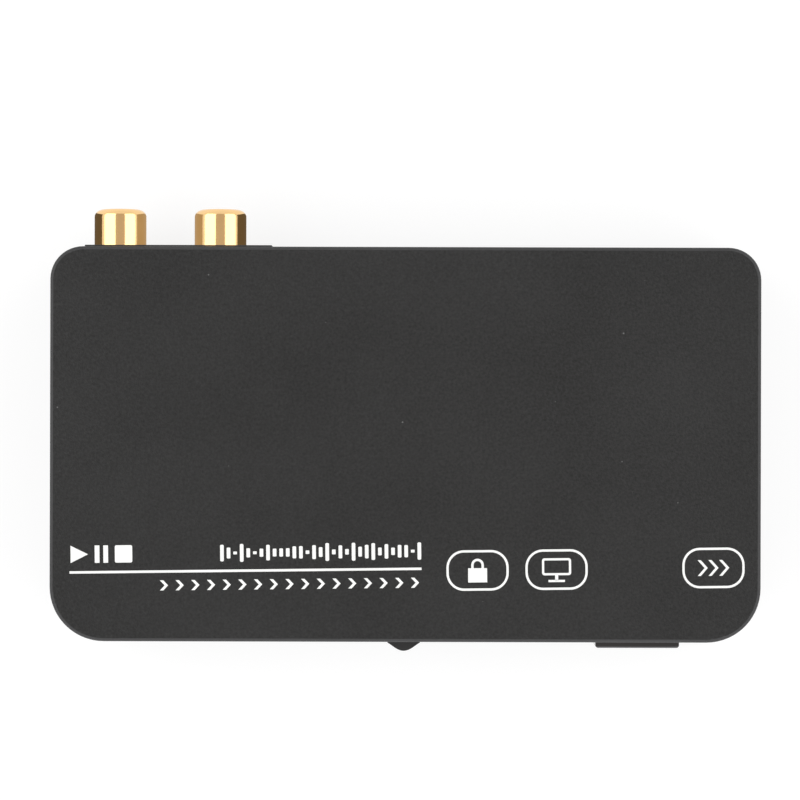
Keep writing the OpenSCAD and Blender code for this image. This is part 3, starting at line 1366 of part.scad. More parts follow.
module crystals() {
    color([0.75, 0.75, 0.77]) for (place = crystal_places) translate([place[0], place[1], z_top]) {
        straight = crystal_l - crystal_w;
        for (grow = [[crystal_w, crystal_rim], [crystal_w - crystal_rim, crystal_h]]) {
            translate([-straight / 2, -grow[0] / 2, 0]) cube([straight, grow[0], grow[1]]);
            for (side = [-1, 1]) translate([side * straight / 2, 0, 0])
                cylinder(d = grow[0], h = grow[1]);
        }
    }
}

// A row of chip capacitors across X, centred at y: a pale body between two end caps
module chip_cap_row(count, y) {
    w = chip_cap_l * chip_cap_w_share;
    h = chip_cap_l * chip_cap_h_share;
    cap = chip_cap_l * chip_cap_end_share;
    for (i = [0 : count - 1]) translate([(i - (count - 1) / 2) * 2 * w, y, 0]) {
        translate([-w / 2, -chip_cap_l / 2, 0]) cube([w, cap, h]);
        translate([-w / 2 + chip_cap_waist, cap - chip_cap_l / 2, chip_cap_waist])
            cube([w - 2 * chip_cap_waist, chip_cap_l - 2 * cap, h - 2 * chip_cap_waist]);
        translate([-w / 2, chip_cap_l / 2 - cap, 0]) cube([w, cap, h]);
    }
}

module chip_capacitors() {
    reach = cap_row_reach / 2;
    color([0.6, 0.5, 0.38]) {
        for (turn = [0 : 90 : 270]) on_board(video_chip_share) rotate([0, 0, turn])
            chip_cap_row(video_cap_count, video_chip_w / 2 + reach);
        for (side = [-1, 1]) on_board(audio_chip_share)
            chip_cap_row(audio_cap_count, side * (audio_chip_l / 2 + reach));
    }
}

module programming_header() {
    w = header_pins * pin_spacing;
    color([0.06, 0.06, 0.065]) on_board(header_share) {
        translate([-w / 2, -pin_spacing / 2, 0]) cube([w, pin_spacing, header_h]);
        for (i = [0 : header_pins - 1])
            translate([(i - (header_pins - 1) / 2) * pin_spacing, 0, header_pin_l / 2])
                cube([header_pin_w, header_pin_w, header_pin_l], center = true);
    }
}

top_shell();
bottom_shell();
case_screws();
rubber_feet();
circuit_board();
board_screws();
rca_housing();
rca_sleeve_left();
rca_sleeve_right();
rca_insulator_left();
rca_insulator_right();
rca_contact_left();
rca_contact_right();
hdmi_input_shell();
hdmi_input_tongue();
hdmi_input_contacts();
hdmi_output_shell();
hdmi_output_tongue();
hdmi_output_contacts();
power_jack_body();
power_jack_pin();
power_jack_leaf();
headphone_jack_body();
headphone_jack_tabs();
light_pipes();
indicator_leds();
mode_switch_base();
mode_switch_can();
mode_switch_slider();
mode_switch_knob();
optical_socket_body();
optical_shutter();
optical_emitter();
video_chip();
audio_chip();
controller_chip();
voltage_regulators();
inductors();
electrolytic_capacitors();
crystals();
chip_capacitors();
programming_header();
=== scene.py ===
# %% [markdown]
# A small black box that takes the sound out of a video signal
# The object is a flat moulded case, 112 mm long, with a row of sockets on its rear wall and a switch,
# two lights and two sound outputs on its front wall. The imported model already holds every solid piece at
# its real size and place, so nothing here is moved or resized. What this script adds is what the eye
# reads as quality: softened edges, moulded grain, plating, print, and light that shows them.

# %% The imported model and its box
import json
import math

import bmesh
import bpy
from mathutils import Matrix, Vector


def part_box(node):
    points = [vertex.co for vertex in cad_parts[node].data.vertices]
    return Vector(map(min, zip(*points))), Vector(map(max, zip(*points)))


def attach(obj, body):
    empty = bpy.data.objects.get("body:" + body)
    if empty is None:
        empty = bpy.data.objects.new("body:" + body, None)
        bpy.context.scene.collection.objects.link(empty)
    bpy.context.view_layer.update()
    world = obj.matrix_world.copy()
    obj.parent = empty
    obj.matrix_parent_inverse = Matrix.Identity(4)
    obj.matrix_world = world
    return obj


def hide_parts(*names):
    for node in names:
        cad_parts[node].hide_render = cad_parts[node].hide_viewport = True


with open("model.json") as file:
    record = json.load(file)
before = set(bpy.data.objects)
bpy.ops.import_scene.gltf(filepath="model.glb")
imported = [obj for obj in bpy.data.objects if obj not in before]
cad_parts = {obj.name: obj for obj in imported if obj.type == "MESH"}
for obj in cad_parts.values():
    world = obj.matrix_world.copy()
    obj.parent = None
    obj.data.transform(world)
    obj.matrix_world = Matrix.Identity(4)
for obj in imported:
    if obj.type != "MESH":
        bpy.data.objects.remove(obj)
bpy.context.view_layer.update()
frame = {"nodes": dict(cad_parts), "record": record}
nodes = frame["nodes"]
bodies = frame["record"]["behaviour"]["bodies"]
body_of_node = {name: body for body, names in bodies.items() for name in names}
slot_of_node = {part["node"]: part["material_slot"] for part in frame["record"]["subparts"]}
MM = 0.001
roof_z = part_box("top_shell")[1].z
scene = bpy.context.scene
scene.view_settings.view_transform = "Standard"
print("nodes:", len(nodes), "roof at", round(roof_z / MM, 2), "mm")

# %% [markdown]
# The camera
# The photograph looks straight down at the roof from far away, so that the walls hardly show. A camera
# can imitate that with a long lens at a real distance, or with an orthographic view. The long lens is
# right here, because the sleeves of the two gold sockets lie lower than the roof and look a little smaller.
# The picture is turned by a fraction of a degree, and the camera takes over that turn.

# %% Camera over the roof
PICTURE_SIDE = 800
FOCAL_LENGTH_PIXELS = 3796
SENSOR_WIDTH = 36
CAMERA_ABOVE_ROOF = 600 * MM
NEAREST_SEEN = 10 * MM
PICTURE_CENTRE = Vector((-0.88 * MM, 7.03 * MM))
PICTURE_TURN = 0.0026

camera_data = bpy.data.cameras.new("camera")
camera_data.sensor_width = SENSOR_WIDTH
camera_data.lens = FOCAL_LENGTH_PIXELS / PICTURE_SIDE * SENSOR_WIDTH
camera_data.clip_start = NEAREST_SEEN
camera = bpy.data.objects.new("camera", camera_data)
camera.location = (PICTURE_CENTRE.x, PICTURE_CENTRE.y, roof_z + CAMERA_ABOVE_ROOF)
camera.rotation_euler = (0, 0, PICTURE_TURN)
scene.collection.objects.link(camera)
scene.camera = camera
print("lens:", round(camera_data.lens, 1), "mm")

# %% [markdown]
# Softboxes
# A product shot on white has two long softboxes at the sides. In a polished cylinder each of them becomes
# a bright band, and what stands between them becomes the dark ones. A third softbox lights the front
# wall. Point lamps would leave only small hot spots in the gold, so these are area lamps. Each is given
# by its radiance, because then a change of its size doesn't change how bright it looks.

# %% Three softboxes
SIDE_BOX_X = 0.65
SIDE_BOX_Z = 0.62
SIDE_BOX = {"width": 1.6, "height": 0.84, "radiance": 1.55}
FRONT_BOX_PLACE = (0, -0.95, 0.3)
FRONT_BOX = {"width": 1.2, "height": 0.4, "radiance": 1.6}


def softbox(name, place, width, height, radiance):
    """An area lamp that points at the origin and that the camera doesn't see."""
    light = bpy.data.lights.new(name, "AREA")
    light.shape = "RECTANGLE"
    light.size = width
    light.size_y = height
    light.energy = radiance * math.pi * width * height
    box = bpy.data.objects.new(name, light)
    box.location = place
    box.rotation_euler = (-Vector(place)).to_track_quat("-Z", "Y").to_euler()
    box.visible_camera = False
    scene.collection.objects.link(box)
    print(name, "energy", round(light.energy, 2), "W")


softbox("softbox_left", (-SIDE_BOX_X, 0, SIDE_BOX_Z), **SIDE_BOX)
softbox("softbox_right", (SIDE_BOX_X, 0, SIDE_BOX_Z), **SIDE_BOX)
softbox("softbox_front", FRONT_BOX_PLACE, **FRONT_BOX)

# %% [markdown]
# Nodes in few words
# A material is a net of small nodes, and every node takes a few lines to make, to set and to link. These
# functions do it in one, so that a finish further down reads like a recipe. They serve the shader nodes
# and the geometry nodes alike.


# %% Short ways to write nodes
def add(tree, kind, inputs=None, **settings):
    """Adds a node. A socket among the inputs is linked, and any other value is set."""
    made = tree.nodes.new(kind)
    for name, value in settings.items():
        setattr(made, name, value)
    for key, value in (inputs or {}).items():
        if isinstance(value, bpy.types.NodeSocket):
            tree.links.new(value, made.inputs[key])
        else:
            made.inputs[key].default_value = value
    return made


def maths(tree, operation, a, b, c=0.0, clamp=False):
    """The result of a Math node. Only MULTIPLY_ADD reads the third number."""
    return add(tree, "ShaderNodeMath", {0: a, 1: b, 2: c}, operation=operation, use_clamp=clamp).outputs[0]


def plain_material(name):
    """A new material with an empty tree."""
    material = bpy.data.materials.new(name)
    material.use_nodes = True
    material.node_tree.nodes.clear()
    return material, material.node_tree


print("node helpers ready")


# %% Colours as a screen shows them
def linear(red, green, blue):
    """A colour read on screen, from 0 to 255, as the shader wants it, by the sRGB curve."""
    shares = [value / 255 for value in (red, green, blue)]
    return tuple(s / 12.92 if s <= 0.04045 else ((s + 0.055) / 1.055) ** 2.4 for s in shares) + (1.0,)


MID_GREY = 128
print("grey", MID_GREY, "on screen is", round(linear(MID_GREY, MID_GREY, MID_GREY)[0], 3), "in the shader")

# %% [markdown]
# White paper under a white sky
# The box stands on white paper, and the ground of the picture is pure white. More lamps would burn the
# paper white, but they would burn the object too. So the world and the floor are bright only for the
# camera, in reflections and through clear plastic, which the Light Path node tells apart. As light on
# the object they stay mild, and the floor still takes a faint shadow.

# %% The white world
FILL_LIGHT = 0.42
WHITE = (1, 1, 1, 1)


def seen_directly(tree):
    """One for camera, reflected and transmitted rays, zero for the rays that only carry light."""
    path = add(tree, "ShaderNodeLightPath")
    seen = maths(tree, "MAXIMUM", path.outputs["Is Camera Ray"], path.outputs["Is Glossy Ray"])
    return maths(tree, "MAXIMUM", seen, path.outputs["Is Transmission Ray"])


world = bpy.data.worlds.new("white_studio")
world.use_nodes = True
scene.world = world
sky = world.node_tree
background = sky.nodes["Background"]
sky_strength = maths(sky, "MULTIPLY_ADD", seen_directly(sky), 1 - FILL_LIGHT, FILL_LIGHT)
sky.links.new(sky_strength, background.inputs["Strength"])
background.inputs["Color"].default_value = WHITE
print("world:", FILL_LIGHT, "as light, 1 as seen")

# %% The white floor
FLOOR_GLOW_SHARE = 0.68
FLOOR_GLOW = 1.14
FLOOR_HALF = 3.0
FLOOR_Z = -0.02 * MM
PAPER_GREY = (0.85, 0.85, 0.85, 1)


def sheet(name, corners):
    """An object of one flat face through the corners."""
    mesh = bpy.data.meshes.new(name)
    mesh.from_pydata(corners, [], [tuple(range(len(corners)))])
    mesh.update()
    obj = bpy.data.objects.new(name, mesh)
    scene.collection.objects.link(obj)
    return obj


floor = sheet("floor", [(x * FLOOR_HALF, y * FLOOR_HALF, FLOOR_Z)
                        for x, y in ((-1, -1), (1, -1), (1, 1), (-1, 1))])
floor_material, tree = plain_material("white_floor")
paper = add(tree, "ShaderNodeBsdfDiffuse", {"Color": PAPER_GREY})
glow = add(tree, "ShaderNodeEmission", {"Color": WHITE, "Strength": FLOOR_GLOW})
share = maths(tree, "MULTIPLY", seen_directly(tree), FLOOR_GLOW_SHARE)
floor_mix = add(tree, "ShaderNodeMixShader", {0: share, 1: paper.outputs[0], 2: glow.outputs[0]})
add(tree, "ShaderNodeOutputMaterial", {"Surface": floor_mix.outputs[0]})
floor.data.materials.append(floor_material)
print("floor:", 2 * FLOOR_HALF, "m square")

# %% [markdown]
# Cards that only reflections see
# Polished metal looks like metal only where it mirrors something dark too. A dim warm card over the object
# keeps the middle of the gold sockets brown, and small dark cards beside each give its dark edges. Cards
# far away would do the same, but then the case's rear wall would mirror them as well.


# %% The dim card overhead
def card(name, corners, colour, strength):
    """A glowing sheet that the camera, soft light, shadows and clear plastic all pass by."""
    obj = sheet(name, corners)
    material, tree = plain_material(name)
    light = add(tree, "ShaderNodeEmission", {"Color": colour, "Strength": strength})
    add(tree, "ShaderNodeOutputMaterial", {"Surface": light.outputs[0]})
    obj.data.materials.append(material)
    obj.visible_camera = False
    obj.visible_diffuse = False
    obj.visible_shadow = False
    obj.visible_transmission = False
    print(name, "strength", strength)


OVERHEAD_Z = 0.9
OVERHEAD_HALF_X = 0.34
OVERHEAD_HALF_Y = 0.9
OVERHEAD_COLOUR = (1, 0.93, 0.88, 1)
OVERHEAD_GLOW = 0.6
overhead_corners = [(x * OVERHEAD_HALF_X, y * OVERHEAD_HALF_Y, OVERHEAD_Z)
                    for x, y in ((-1, -1), (-1, 1), (1, 1), (1, -1))]
card("overhead_card", overhead_corners, OVERHEAD_COLOUR, OVERHEAD_GLOW)

# %% Dark flags beside the gold sockets
FLAG_AIR = 0.6 * MM
FLAG_ABOVE_AXIS = 3.3 * MM
FLAG_BELOW_AXIS = 2.5 * MM
FLAG_COLOUR = (1, 0.85, 0.65, 1)
OUTER_FLAG_GLOW = 0.14
INNER_FLAG_GLOW = 0.5
left_low, left_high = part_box("rca_sleeve_left")
right_low, right_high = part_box("rca_sleeve_right")
housing_face_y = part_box("rca_housing")[1].y


def side_flag(name, x, glow):
    """An upright dark card close beside a sleeve, as long as the sleeve stands out of the housing."""
    axis_z = (left_low.z + left_high.z) / 2
    low, high = axis_z - FLAG_BELOW_AXIS, axis_z + FLAG_ABOVE_AXIS
    near, far = housing_face_y, left_high.y
    card(name, [(x, near, low), (x, far, low), (x, far, high), (x, near, high)], FLAG_COLOUR, glow)


side_flag("flag_left_outer", left_low.x - FLAG_AIR, OUTER_FLAG_GLOW)
side_flag("flag_left_inner", left_high.x + FLAG_AIR, INNER_FLAG_GLOW)
side_flag("flag_right_inner", right_low.x - FLAG_AIR, INNER_FLAG_GLOW)
side_flag("flag_right_outer", right_high.x + FLAG_AIR, OUTER_FLAG_GLOW)

# %% [markdown]
# Effects that more than one finish uses
# Moulded grain, rubbed edges, dust and smudges turn up on plastic, rubber and metal alike. They could be
# built anew in each material. Here each one is a node group instead, built once, with sockets for its
# size and strength, and every finish sets its own values. The groups read Object coordinates, so the
# patterns keep their real size on every piece.

# %% Group: a fine moulded grain
NOISE_MIDDLE = 0.5
PITS_PER_GRAIN = 1.7
PIT_DEPTH_SHARE = 0.6


def new_group(name, inputs, outputs):
    """A shader node group. Its inputs are numbers, with the place on the piece as Vector."""
    group = bpy.data.node_groups.new(name, "ShaderNodeTree")
    for label, value in inputs.items():
        socket = group.interface.new_socket(name=label, in_out="INPUT", socket_type="NodeSocketFloat")
        socket.default_value = value
    group.interface.new_socket(name="Vector", in_out="INPUT", socket_type="NodeSocketVector")
    for label in outputs:
        group.interface.new_socket(name=label, in_out="OUTPUT", socket_type="NodeSocketFloat")
    return group, group.nodes.new("NodeGroupInput").outputs


grain_group, given = new_group("moulded_grain", {"Grain Size": 0.4 * MM}, ("Height", "Speckle"))
per_metre = maths(grain_group, "DIVIDE", 1.0, given["Grain Size"])
coarse = add(grain_group, "ShaderNodeTexNoise", {"Vector": given["Vector"], "Scale": per_metre,
                                                 "Detail": 3.0, "Roughness": 0.6}).outputs[0]
pit_scale = maths(grain_group, "MULTIPLY", per_metre, PITS_PER_GRAIN)
pits = add(grain_group, "ShaderNodeTexVoronoi", {"Vector": given["Vector"], "Scale": pit_scale})
pit_depth = maths(grain_group, "MULTIPLY", pits.outputs["Distance"], PIT_DEPTH_SHARE)
height = maths(grain_group, "ADD", coarse, pit_depth)
speckle = maths(grain_group, "SUBTRACT", coarse, NOISE_MIDDLE)
add(grain_group, "NodeGroupOutput", {"Height": height, "Speckle": speckle})
print(grain_group.name, "ready")

# %% Group: rubbed edges and painted rim highlights
# The edge attribute is written on each piece's bevels further down, and on the shells' rims, where this
# mask also paints a highlight.
wear_and_rim_highlight_group, given = new_group("edge_wear", {"Patch Size": 4 * MM, "Cover": 0.5}, ("Mask",))
edge = add(wear_and_rim_highlight_group, "ShaderNodeAttribute", attribute_name="edge")
per_metre = maths(wear_and_rim_highlight_group, "DIVIDE", 1.0, given["Patch Size"])
patch = add(wear_and_rim_highlight_group, "ShaderNodeTexNoise", {"Vector": given["Vector"], "Scale": per_metre,
                                               "Detail": 4.0})
raised = maths(wear_and_rim_highlight_group, "SUBTRACT", given["Cover"], NOISE_MIDDLE)
uneven = maths(wear_and_rim_highlight_group, "ADD", patch.outputs[0], raised)
sharp = add(wear_and_rim_highlight_group, "ShaderNodeMapRange", {"Value": uneven, "From Min": 0.4, "From Max": 0.62})
mask = maths(wear_and_rim_highlight_group, "MULTIPLY", sharp.outputs[0], edge.outputs["Fac"])
add(wear_and_rim_highlight_group, "NodeGroupOutput", {"Mask": mask})
print(wear_and_rim_highlight_group.name, "ready")

# %% Group: specks of dust
dust_group, given = new_group("dust_specks", {"Spacing": 5 * MM, "Speck Share": 0.05}, ("Mask",))
per_metre = maths(dust_group, "DIVIDE", 1.0, given["Spacing"])
cells = add(dust_group, "ShaderNodeTexVoronoi", {"Vector": given["Vector"], "Scale": per_metre,
                                                 "Randomness": 1.0})
chosen = add(dust_group, "ShaderNodeSeparateColor", {0: cells.outputs["Color"]}).outputs[0]
size_here = maths(dust_group, "MULTIPLY", given["Speck Share"], chosen)
inside = maths(dust_group, "LESS_THAN", cells.outputs["Distance"], size_here)
add(dust_group, "NodeGroupOutput", {"Mask": inside})
print(dust_group.name, "ready")

# %% Group: smudges and slow unevenness
STREAK_STRETCH = (14.0, 1.0, 14.0)
smudge_group, given = new_group("smudges", {"Blotch Size": 20 * MM}, ("Soft", "Streaks"))
per_metre = maths(smudge_group, "DIVIDE", 1.0, given["Blotch Size"])
soft = add(smudge_group, "ShaderNodeTexNoise", {"Vector": given["Vector"], "Scale": per_metre,
                                                "Detail": 2.0})
pulled = add(smudge_group, "ShaderNodeMapping", {"Vector": given["Vector"], "Scale": STREAK_STRETCH})
streaks = add(smudge_group, "ShaderNodeTexNoise", {"Vector": pulled.outputs[0], "Scale": per_metre,
                                                   "Detail": 5.0})
add(smudge_group, "NodeGroupOutput",
    {"Soft": maths(smudge_group, "SUBTRACT", soft.outputs[0], NOISE_MIDDLE),
     "Streaks": maths(smudge_group, "SUBTRACT", streaks.outputs[0], NOISE_MIDDLE)})
print(smudge_group.name, "ready")

# %% [markdown]
# Moulded plastic and rubber
# A moulded surface copies the fine grain of its steel mould. In a close view it has a bump, tiny changes
# of colour, and paler edges where hands rub it. On the case's outer rims the paler colour is also a
# painted highlight, standing in for the light that those rounded edges catch. An image would have to be
# wrapped round every piece, so the pattern is worked out from the place on the piece. One function makes
# them all: a dark or coloured Principled shader with the grain in its bump, and its own numbers for each
# plastic.


# %% A moulded finish
def group_node(tree, group, vector, **values):
    """One of the groups in a material. A value is named as its socket is, with _ for the space."""
    made = add(tree, "ShaderNodeGroup", {"Vector": vector}, node_tree=group)
    for name, value in values.items():
        made.inputs[name.replace("_", " ")].default_value = value
    return made


def blend_colour(tree, factor, first, second):
    """The first colour at factor zero, the second at one."""
    return add(tree, "ShaderNodeMix", {0: factor, 6: first, 7: second}, data_type="RGBA").outputs[2]


def shade(tree, colour, amount, value):
    """The colour made lighter or darker by value times amount."""
    bright = maths(tree, "MULTIPLY_ADD", value, amount, 1.0)
    return add(tree, "ShaderNodeVectorMath", {0: colour[:3], 1: bright}, operation="MULTIPLY").outputs[0]


# The worn colour's share on marked edges. On the case's rims it is also a painted highlight.
WORN_AND_HIGHLIGHT_SHARE = 0.6
DUST_GREY = (0.12, 0.12, 0.12, 1)
finishes = {}


def moulded(name, colour, worn_and_highlight, roughness, grain_size=0.35 * MM, grain_depth=0.02 * MM, speckle=0.5,
            wear_cover=0.5, dust=0.0, uneven=0.15, mottle=0.3, **sockets):
    """A finish with grain, wear and dust, where the worn colour on marked rims is also a painted highlight.
    The sockets are the shader's own, such as its coat.
    """
    material, tree = plain_material(name)
    where = add(tree, "ShaderNodeTexCoord").outputs["Object"]
    grain = group_node(tree, grain_group, where, Grain_Size=grain_size)
    wear = group_node(tree, wear_and_rim_highlight_group, where, Cover=wear_cover)
    smudge = group_node(tree, smudge_group, where)
    mottled = maths(tree, "MULTIPLY", smudge.outputs["Soft"], mottle / speckle)
    base = shade(tree, colour, speckle, maths(tree, "ADD", grain.outputs["Speckle"], mottled))
    base = blend_colour(tree, maths(tree, "MULTIPLY", wear.outputs[0], WORN_AND_HIGHLIGHT_SHARE), base, worn_and_highlight)
    if dust:
        specks = group_node(tree, dust_group, where, Speck_Share=dust)
        base = blend_colour(tree, specks.outputs[0], base, DUST_GREY)
    gloss = maths(tree, "MULTIPLY_ADD", smudge.outputs["Soft"], uneven, roughness)
    bump = add(tree, "ShaderNodeBump", {"Height": grain.outputs["Height"], "Distance": grain_depth,
                                        "Strength": 1.0})
    surface = add(tree, "ShaderNodeBsdfPrincipled", {"Base Color": base, "Roughness": gloss,
                                                     "Normal": bump.outputs[0], **sockets})
    add(tree, "ShaderNodeOutputMaterial", {"Surface": surface.outputs[0]})
    finishes[name] = material
    print(name, "made")


print("rubbed edges take", WORN_AND_HIGHLIGHT_SHARE, "of their worn colour")

# %% [markdown]
# The plastics of the case and its sockets
# The case is matt, and its coarse grain makes the colour vary from place to place. The sockets are
# smoother and glossier, as they are on most such boxes. The phono housing is satin, because it stands
# out at the rear and a glossy one would mirror the dark cards beside the sleeves. All of them are one
# function with other numbers, so that the same wear runs through the whole box.

# %% Plastics of the case and its sockets
# The case's worn colour is partly a painted highlight: on its outer rims it stands for the light that the
# rounded edges catch.
moulded("case_plastic", linear(30, 30, 30), worn_and_highlight=linear(70, 70, 71), roughness=0.5, wear_cover=0.8,
        dust=0.03, uneven=0.05, grain_size=0.42 * MM, grain_depth=0.06 * MM, speckle=2.6, mottle=0.9,
        **{"Specular IOR Level": 0.28})
moulded("black_plastic", linear(30, 30, 31), worn_and_highlight=linear(70, 70, 72), roughness=0.42)
moulded("gloss_black_plastic", linear(22, 22, 24), worn_and_highlight=linear(70, 70, 72), roughness=0.16,
        grain_depth=0.0015 * MM, wear_cover=0.8, uneven=0.08, **{"Coat Weight": 0.6})
moulded("satin_black_plastic", linear(26, 26, 27), worn_and_highlight=linear(64, 64, 66), roughness=0.48,
        grain_depth=0.01 * MM, wear_cover=0.8)
moulded("foot_rubber", linear(28, 28, 28), worn_and_highlight=linear(60, 60, 60), roughness=0.75,
        grain_size=0.6 * MM)

# %% [markdown]
# Small parts in colour
# The insulators of phono sockets are coloured, so that the right plug finds them, the board is a green
# laminate under a thin coat of lacquer, and its chips are dull dark grey. The light pipes are clear, but
# a pipe of pure glass would vanish in the wall. So only a part of the light goes through them, and the
# rest shows their pale colour.

# %% Coloured, clear and board plastics
moulded("white_plastic", linear(238, 236, 228), worn_and_highlight=linear(230, 226, 214), roughness=0.35,
        speckle=0.05, grain_depth=0.004 * MM)
moulded("red_plastic", linear(196, 24, 28), worn_and_highlight=linear(214, 60, 58), roughness=0.35, speckle=0.1,
        grain_depth=0.004 * MM)
moulded("brown_plastic", linear(128, 92, 60), worn_and_highlight=linear(150, 120, 90), roughness=0.5, speckle=0.3)
moulded("board_laminate", linear(24, 92, 48), worn_and_highlight=linear(150, 140, 90), roughness=0.3, speckle=0.2,
        grain_size=0.8 * MM, **{"Coat Weight": 0.3})
moulded("chip_plastic", linear(38, 38, 40), worn_and_highlight=linear(70, 70, 72), roughness=0.55,
        grain_size=0.15 * MM)
moulded("clear_plastic", linear(214, 220, 222), worn_and_highlight=linear(240, 240, 240), roughness=0.2,
        speckle=0.04, grain_depth=0.001 * MM, uneven=0.05, **{"Transmission Weight": 0.35, "IOR": 1.49})

# %% [markdown]
# Plated and bare metal
# Gold, steel and aluminium show little but what they mirror, tinted by the metal. A clean mirror would
# look like a drawing, and an image of scratches would repeat. So the shader is fully metallic, and its
# life is in the roughness: fine lines from the tool, and patches that fingers have dulled.

# %% A metal finish
TOOL_LINES = 0.08
LINE_DEPTH = 0.003 * MM
LINE_STRENGTH = 0.5
METAL_BLOTCH = 3 * MM
DULL_SWING = 0.7
DULL_MIDDLE = 0.1
RUBBED_ROUGHNESS = 0.1


def plated(name, colour, dull, roughness):
    """A metal with tool lines, and patches of the dull colour."""
    material, tree = plain_material(name)
    where = add(tree, "ShaderNodeTexCoord").outputs["Object"]
    smudge = group_node(tree, smudge_group, where, Blotch_Size=METAL_BLOTCH)
    wear = group_node(tree, wear_and_rim_highlight_group, where)
    patch = maths(tree, "MULTIPLY_ADD", smudge.outputs["Soft"], DULL_SWING, DULL_MIDDLE, clamp=True)
    base = blend_colour(tree, patch, colour, dull)
    lined = maths(tree, "MULTIPLY_ADD", smudge.outputs["Streaks"], TOOL_LINES, roughness)
    gloss = maths(tree, "MULTIPLY_ADD", wear.outputs[0], RUBBED_ROUGHNESS, lined)
    bump = add(tree, "ShaderNodeBump", {"Height": smudge.outputs["Streaks"], "Distance": LINE_DEPTH,
                                        "Strength": LINE_STRENGTH})
    surface = add(tree, "ShaderNodeBsdfPrincipled", {"Base Color": base, "Metallic": 1.0,
                                                     "Roughness": gloss, "Normal": bump.outputs[0]})
    add(tree, "ShaderNodeOutputMaterial", {"Surface": surface.outputs[0]})
    finishes[name] = material
    print(name, "made")


plated("gold_plating", (0.93, 0.62, 0.29, 1), dull=(0.78, 0.5, 0.21, 1), roughness=0.12)
plated("bright_steel", (0.75, 0.75, 0.76, 1), dull=(0.55, 0.55, 0.55, 1), roughness=0.22)
plated("black_steel", (0.12, 0.12, 0.125, 1), dull=(0.07, 0.07, 0.07, 1), roughness=0.35)
plated("can_aluminium", (0.8, 0.8, 0.81, 1), dull=(0.65, 0.65, 0.66, 1), roughness=0.3)
missing = sorted(set(slot_of_node.values()) - set(finishes))
print(len(finishes), "finishes, slots without one:", missing)

# %% [markdown]
# Dressing the solid pieces
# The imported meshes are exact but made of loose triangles, with edges as sharp as in a drawing. A real
# moulding or stamping always has a small radius, which catches the light as a thin line. Each mesh is
# copied, welded, and its flat faces are joined, and then a Bevel modifier rounds every edge that turns
# by more than forty degrees. The bevel's own faces are marked with an attribute, so that wear can find
# them.

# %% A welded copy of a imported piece
WELD = 0.0005 * MM
FLAT_ANGLE = math.radians(0.4)


def welded_copy(name):
    """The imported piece's mesh with its triangles joined, and no material."""
    bm = bmesh.new()
    bm.from_mesh(nodes[name].data)
    bmesh.ops.remove_doubles(bm, verts=bm.verts, dist=WELD)
    bmesh.ops.dissolve_limit(bm, angle_limit=FLAT_ANGLE, verts=bm.verts, edges=bm.edges)
    mesh = bpy.data.meshes.new(name + "_finish")
    bm.to_mesh(mesh)
    bm.free()
    mesh.materials.clear()
    return mesh


print("points closer than", WELD / MM, "mm are welded")

# %% Modifiers worked into the mesh
EVEN_WEIGHT = 100


def applied(obj):
    """Works the object's modifiers into a plain mesh of its own."""
    depsgraph = bpy.context.evaluated_depsgraph_get()
    mesh = bpy.data.meshes.new_from_object(obj.evaluated_get(depsgraph))
    obj.modifiers.clear()
    old = obj.data
    obj.data = mesh
    bpy.data.meshes.remove(old)


def even_normals(obj):
    """Smooth shading in which the large flat faces stay flat and only the bevels turn."""
    obj.data.shade_smooth()
    weighted = obj.modifiers.new("even_normals", "WEIGHTED_NORMAL")
    weighted.keep_sharp = True
    weighted.weight = EVEN_WEIGHT


print("flat faces weigh", EVEN_WEIGHT, "of 100 in the shading")

# %% Where hands rub, and rims with a painted highlight
RIM_REACH = 0.9 * MM
LEAST_RIM_TILT = 0.03
MOST_RIM_TILT = 0.997
floor_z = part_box("bottom_shell")[0].z


def mark_edges(mesh):
    """Writes the edge attribute on the bevel's faces and gives every face the first material."""
    edge = mesh.attributes.new("edge", "FLOAT", "CORNER")
    values = [0.0] * len(mesh.loops)
    for polygon in mesh.polygons:
        if polygon.material_index == 1:
            for i in polygon.loop_indices:
                values[i] = 1.0
        polygon.material_index = 0
    edge.data.foreach_set("value", values)


def mark_rim_wear_and_highlight(mesh):
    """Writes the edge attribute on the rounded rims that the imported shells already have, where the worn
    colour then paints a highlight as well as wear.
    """
    edge = mesh.attributes["edge"]
    for polygon in mesh.polygons:
        level = polygon.center.z
        near_rim = level > roof_z - RIM_REACH or level < floor_z + RIM_REACH
        if near_rim and LEAST_RIM_TILT < abs(polygon.normal.z) < MOST_RIM_TILT:
            for i in polygon.loop_indices:
                edge.data[i].value = 1.0


print("rims run from", round(floor_z / MM, 2), "to", round(roof_z / MM, 2), "mm")

# %% A dressed piece
EDGE_ANGLE = math.radians(40)
BEVEL_SEGMENTS = 3
SHELLS = ("top_shell", "bottom_shell")
OWN_FINISH = {"rca_housing": "satin_black_plastic"}


def dress(name, bevel):
    """A copy with its finish and rounded edges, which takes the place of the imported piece. The bevel's
    faces get the second of two equal materials, so that they can be told from the others."""
    obj = bpy.data.objects.new(name + "_finish", welded_copy(name))
    scene.collection.objects.link(obj)
    finish = finishes[OWN_FINISH.get(name, slot_of_node[name])]
    obj.data.materials.append(finish)
    obj.data.materials.append(finish)
    rounding = obj.modifiers.new("rounding", "BEVEL")
    rounding.width = bevel
    rounding.segments = BEVEL_SEGMENTS
    rounding.limit_method = "ANGLE"
    rounding.angle_limit = EDGE_ANGLE
    rounding.loop_slide = False
    rounding.use_clamp_overlap = False
    rounding.material = 1
    even_normals(obj)
    applied(obj)
    mark_edges(obj.data)
    # The shells' rims get the edge attribute too, so the worn colour paints a highlight on them as well as
    # wear.
    if name in SHELLS:
        mark_rim_wear_and_highlight(obj.data)
    obj.data.materials.pop(index=1)
    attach(obj, body_of_node[name])
    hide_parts(name)
    return obj


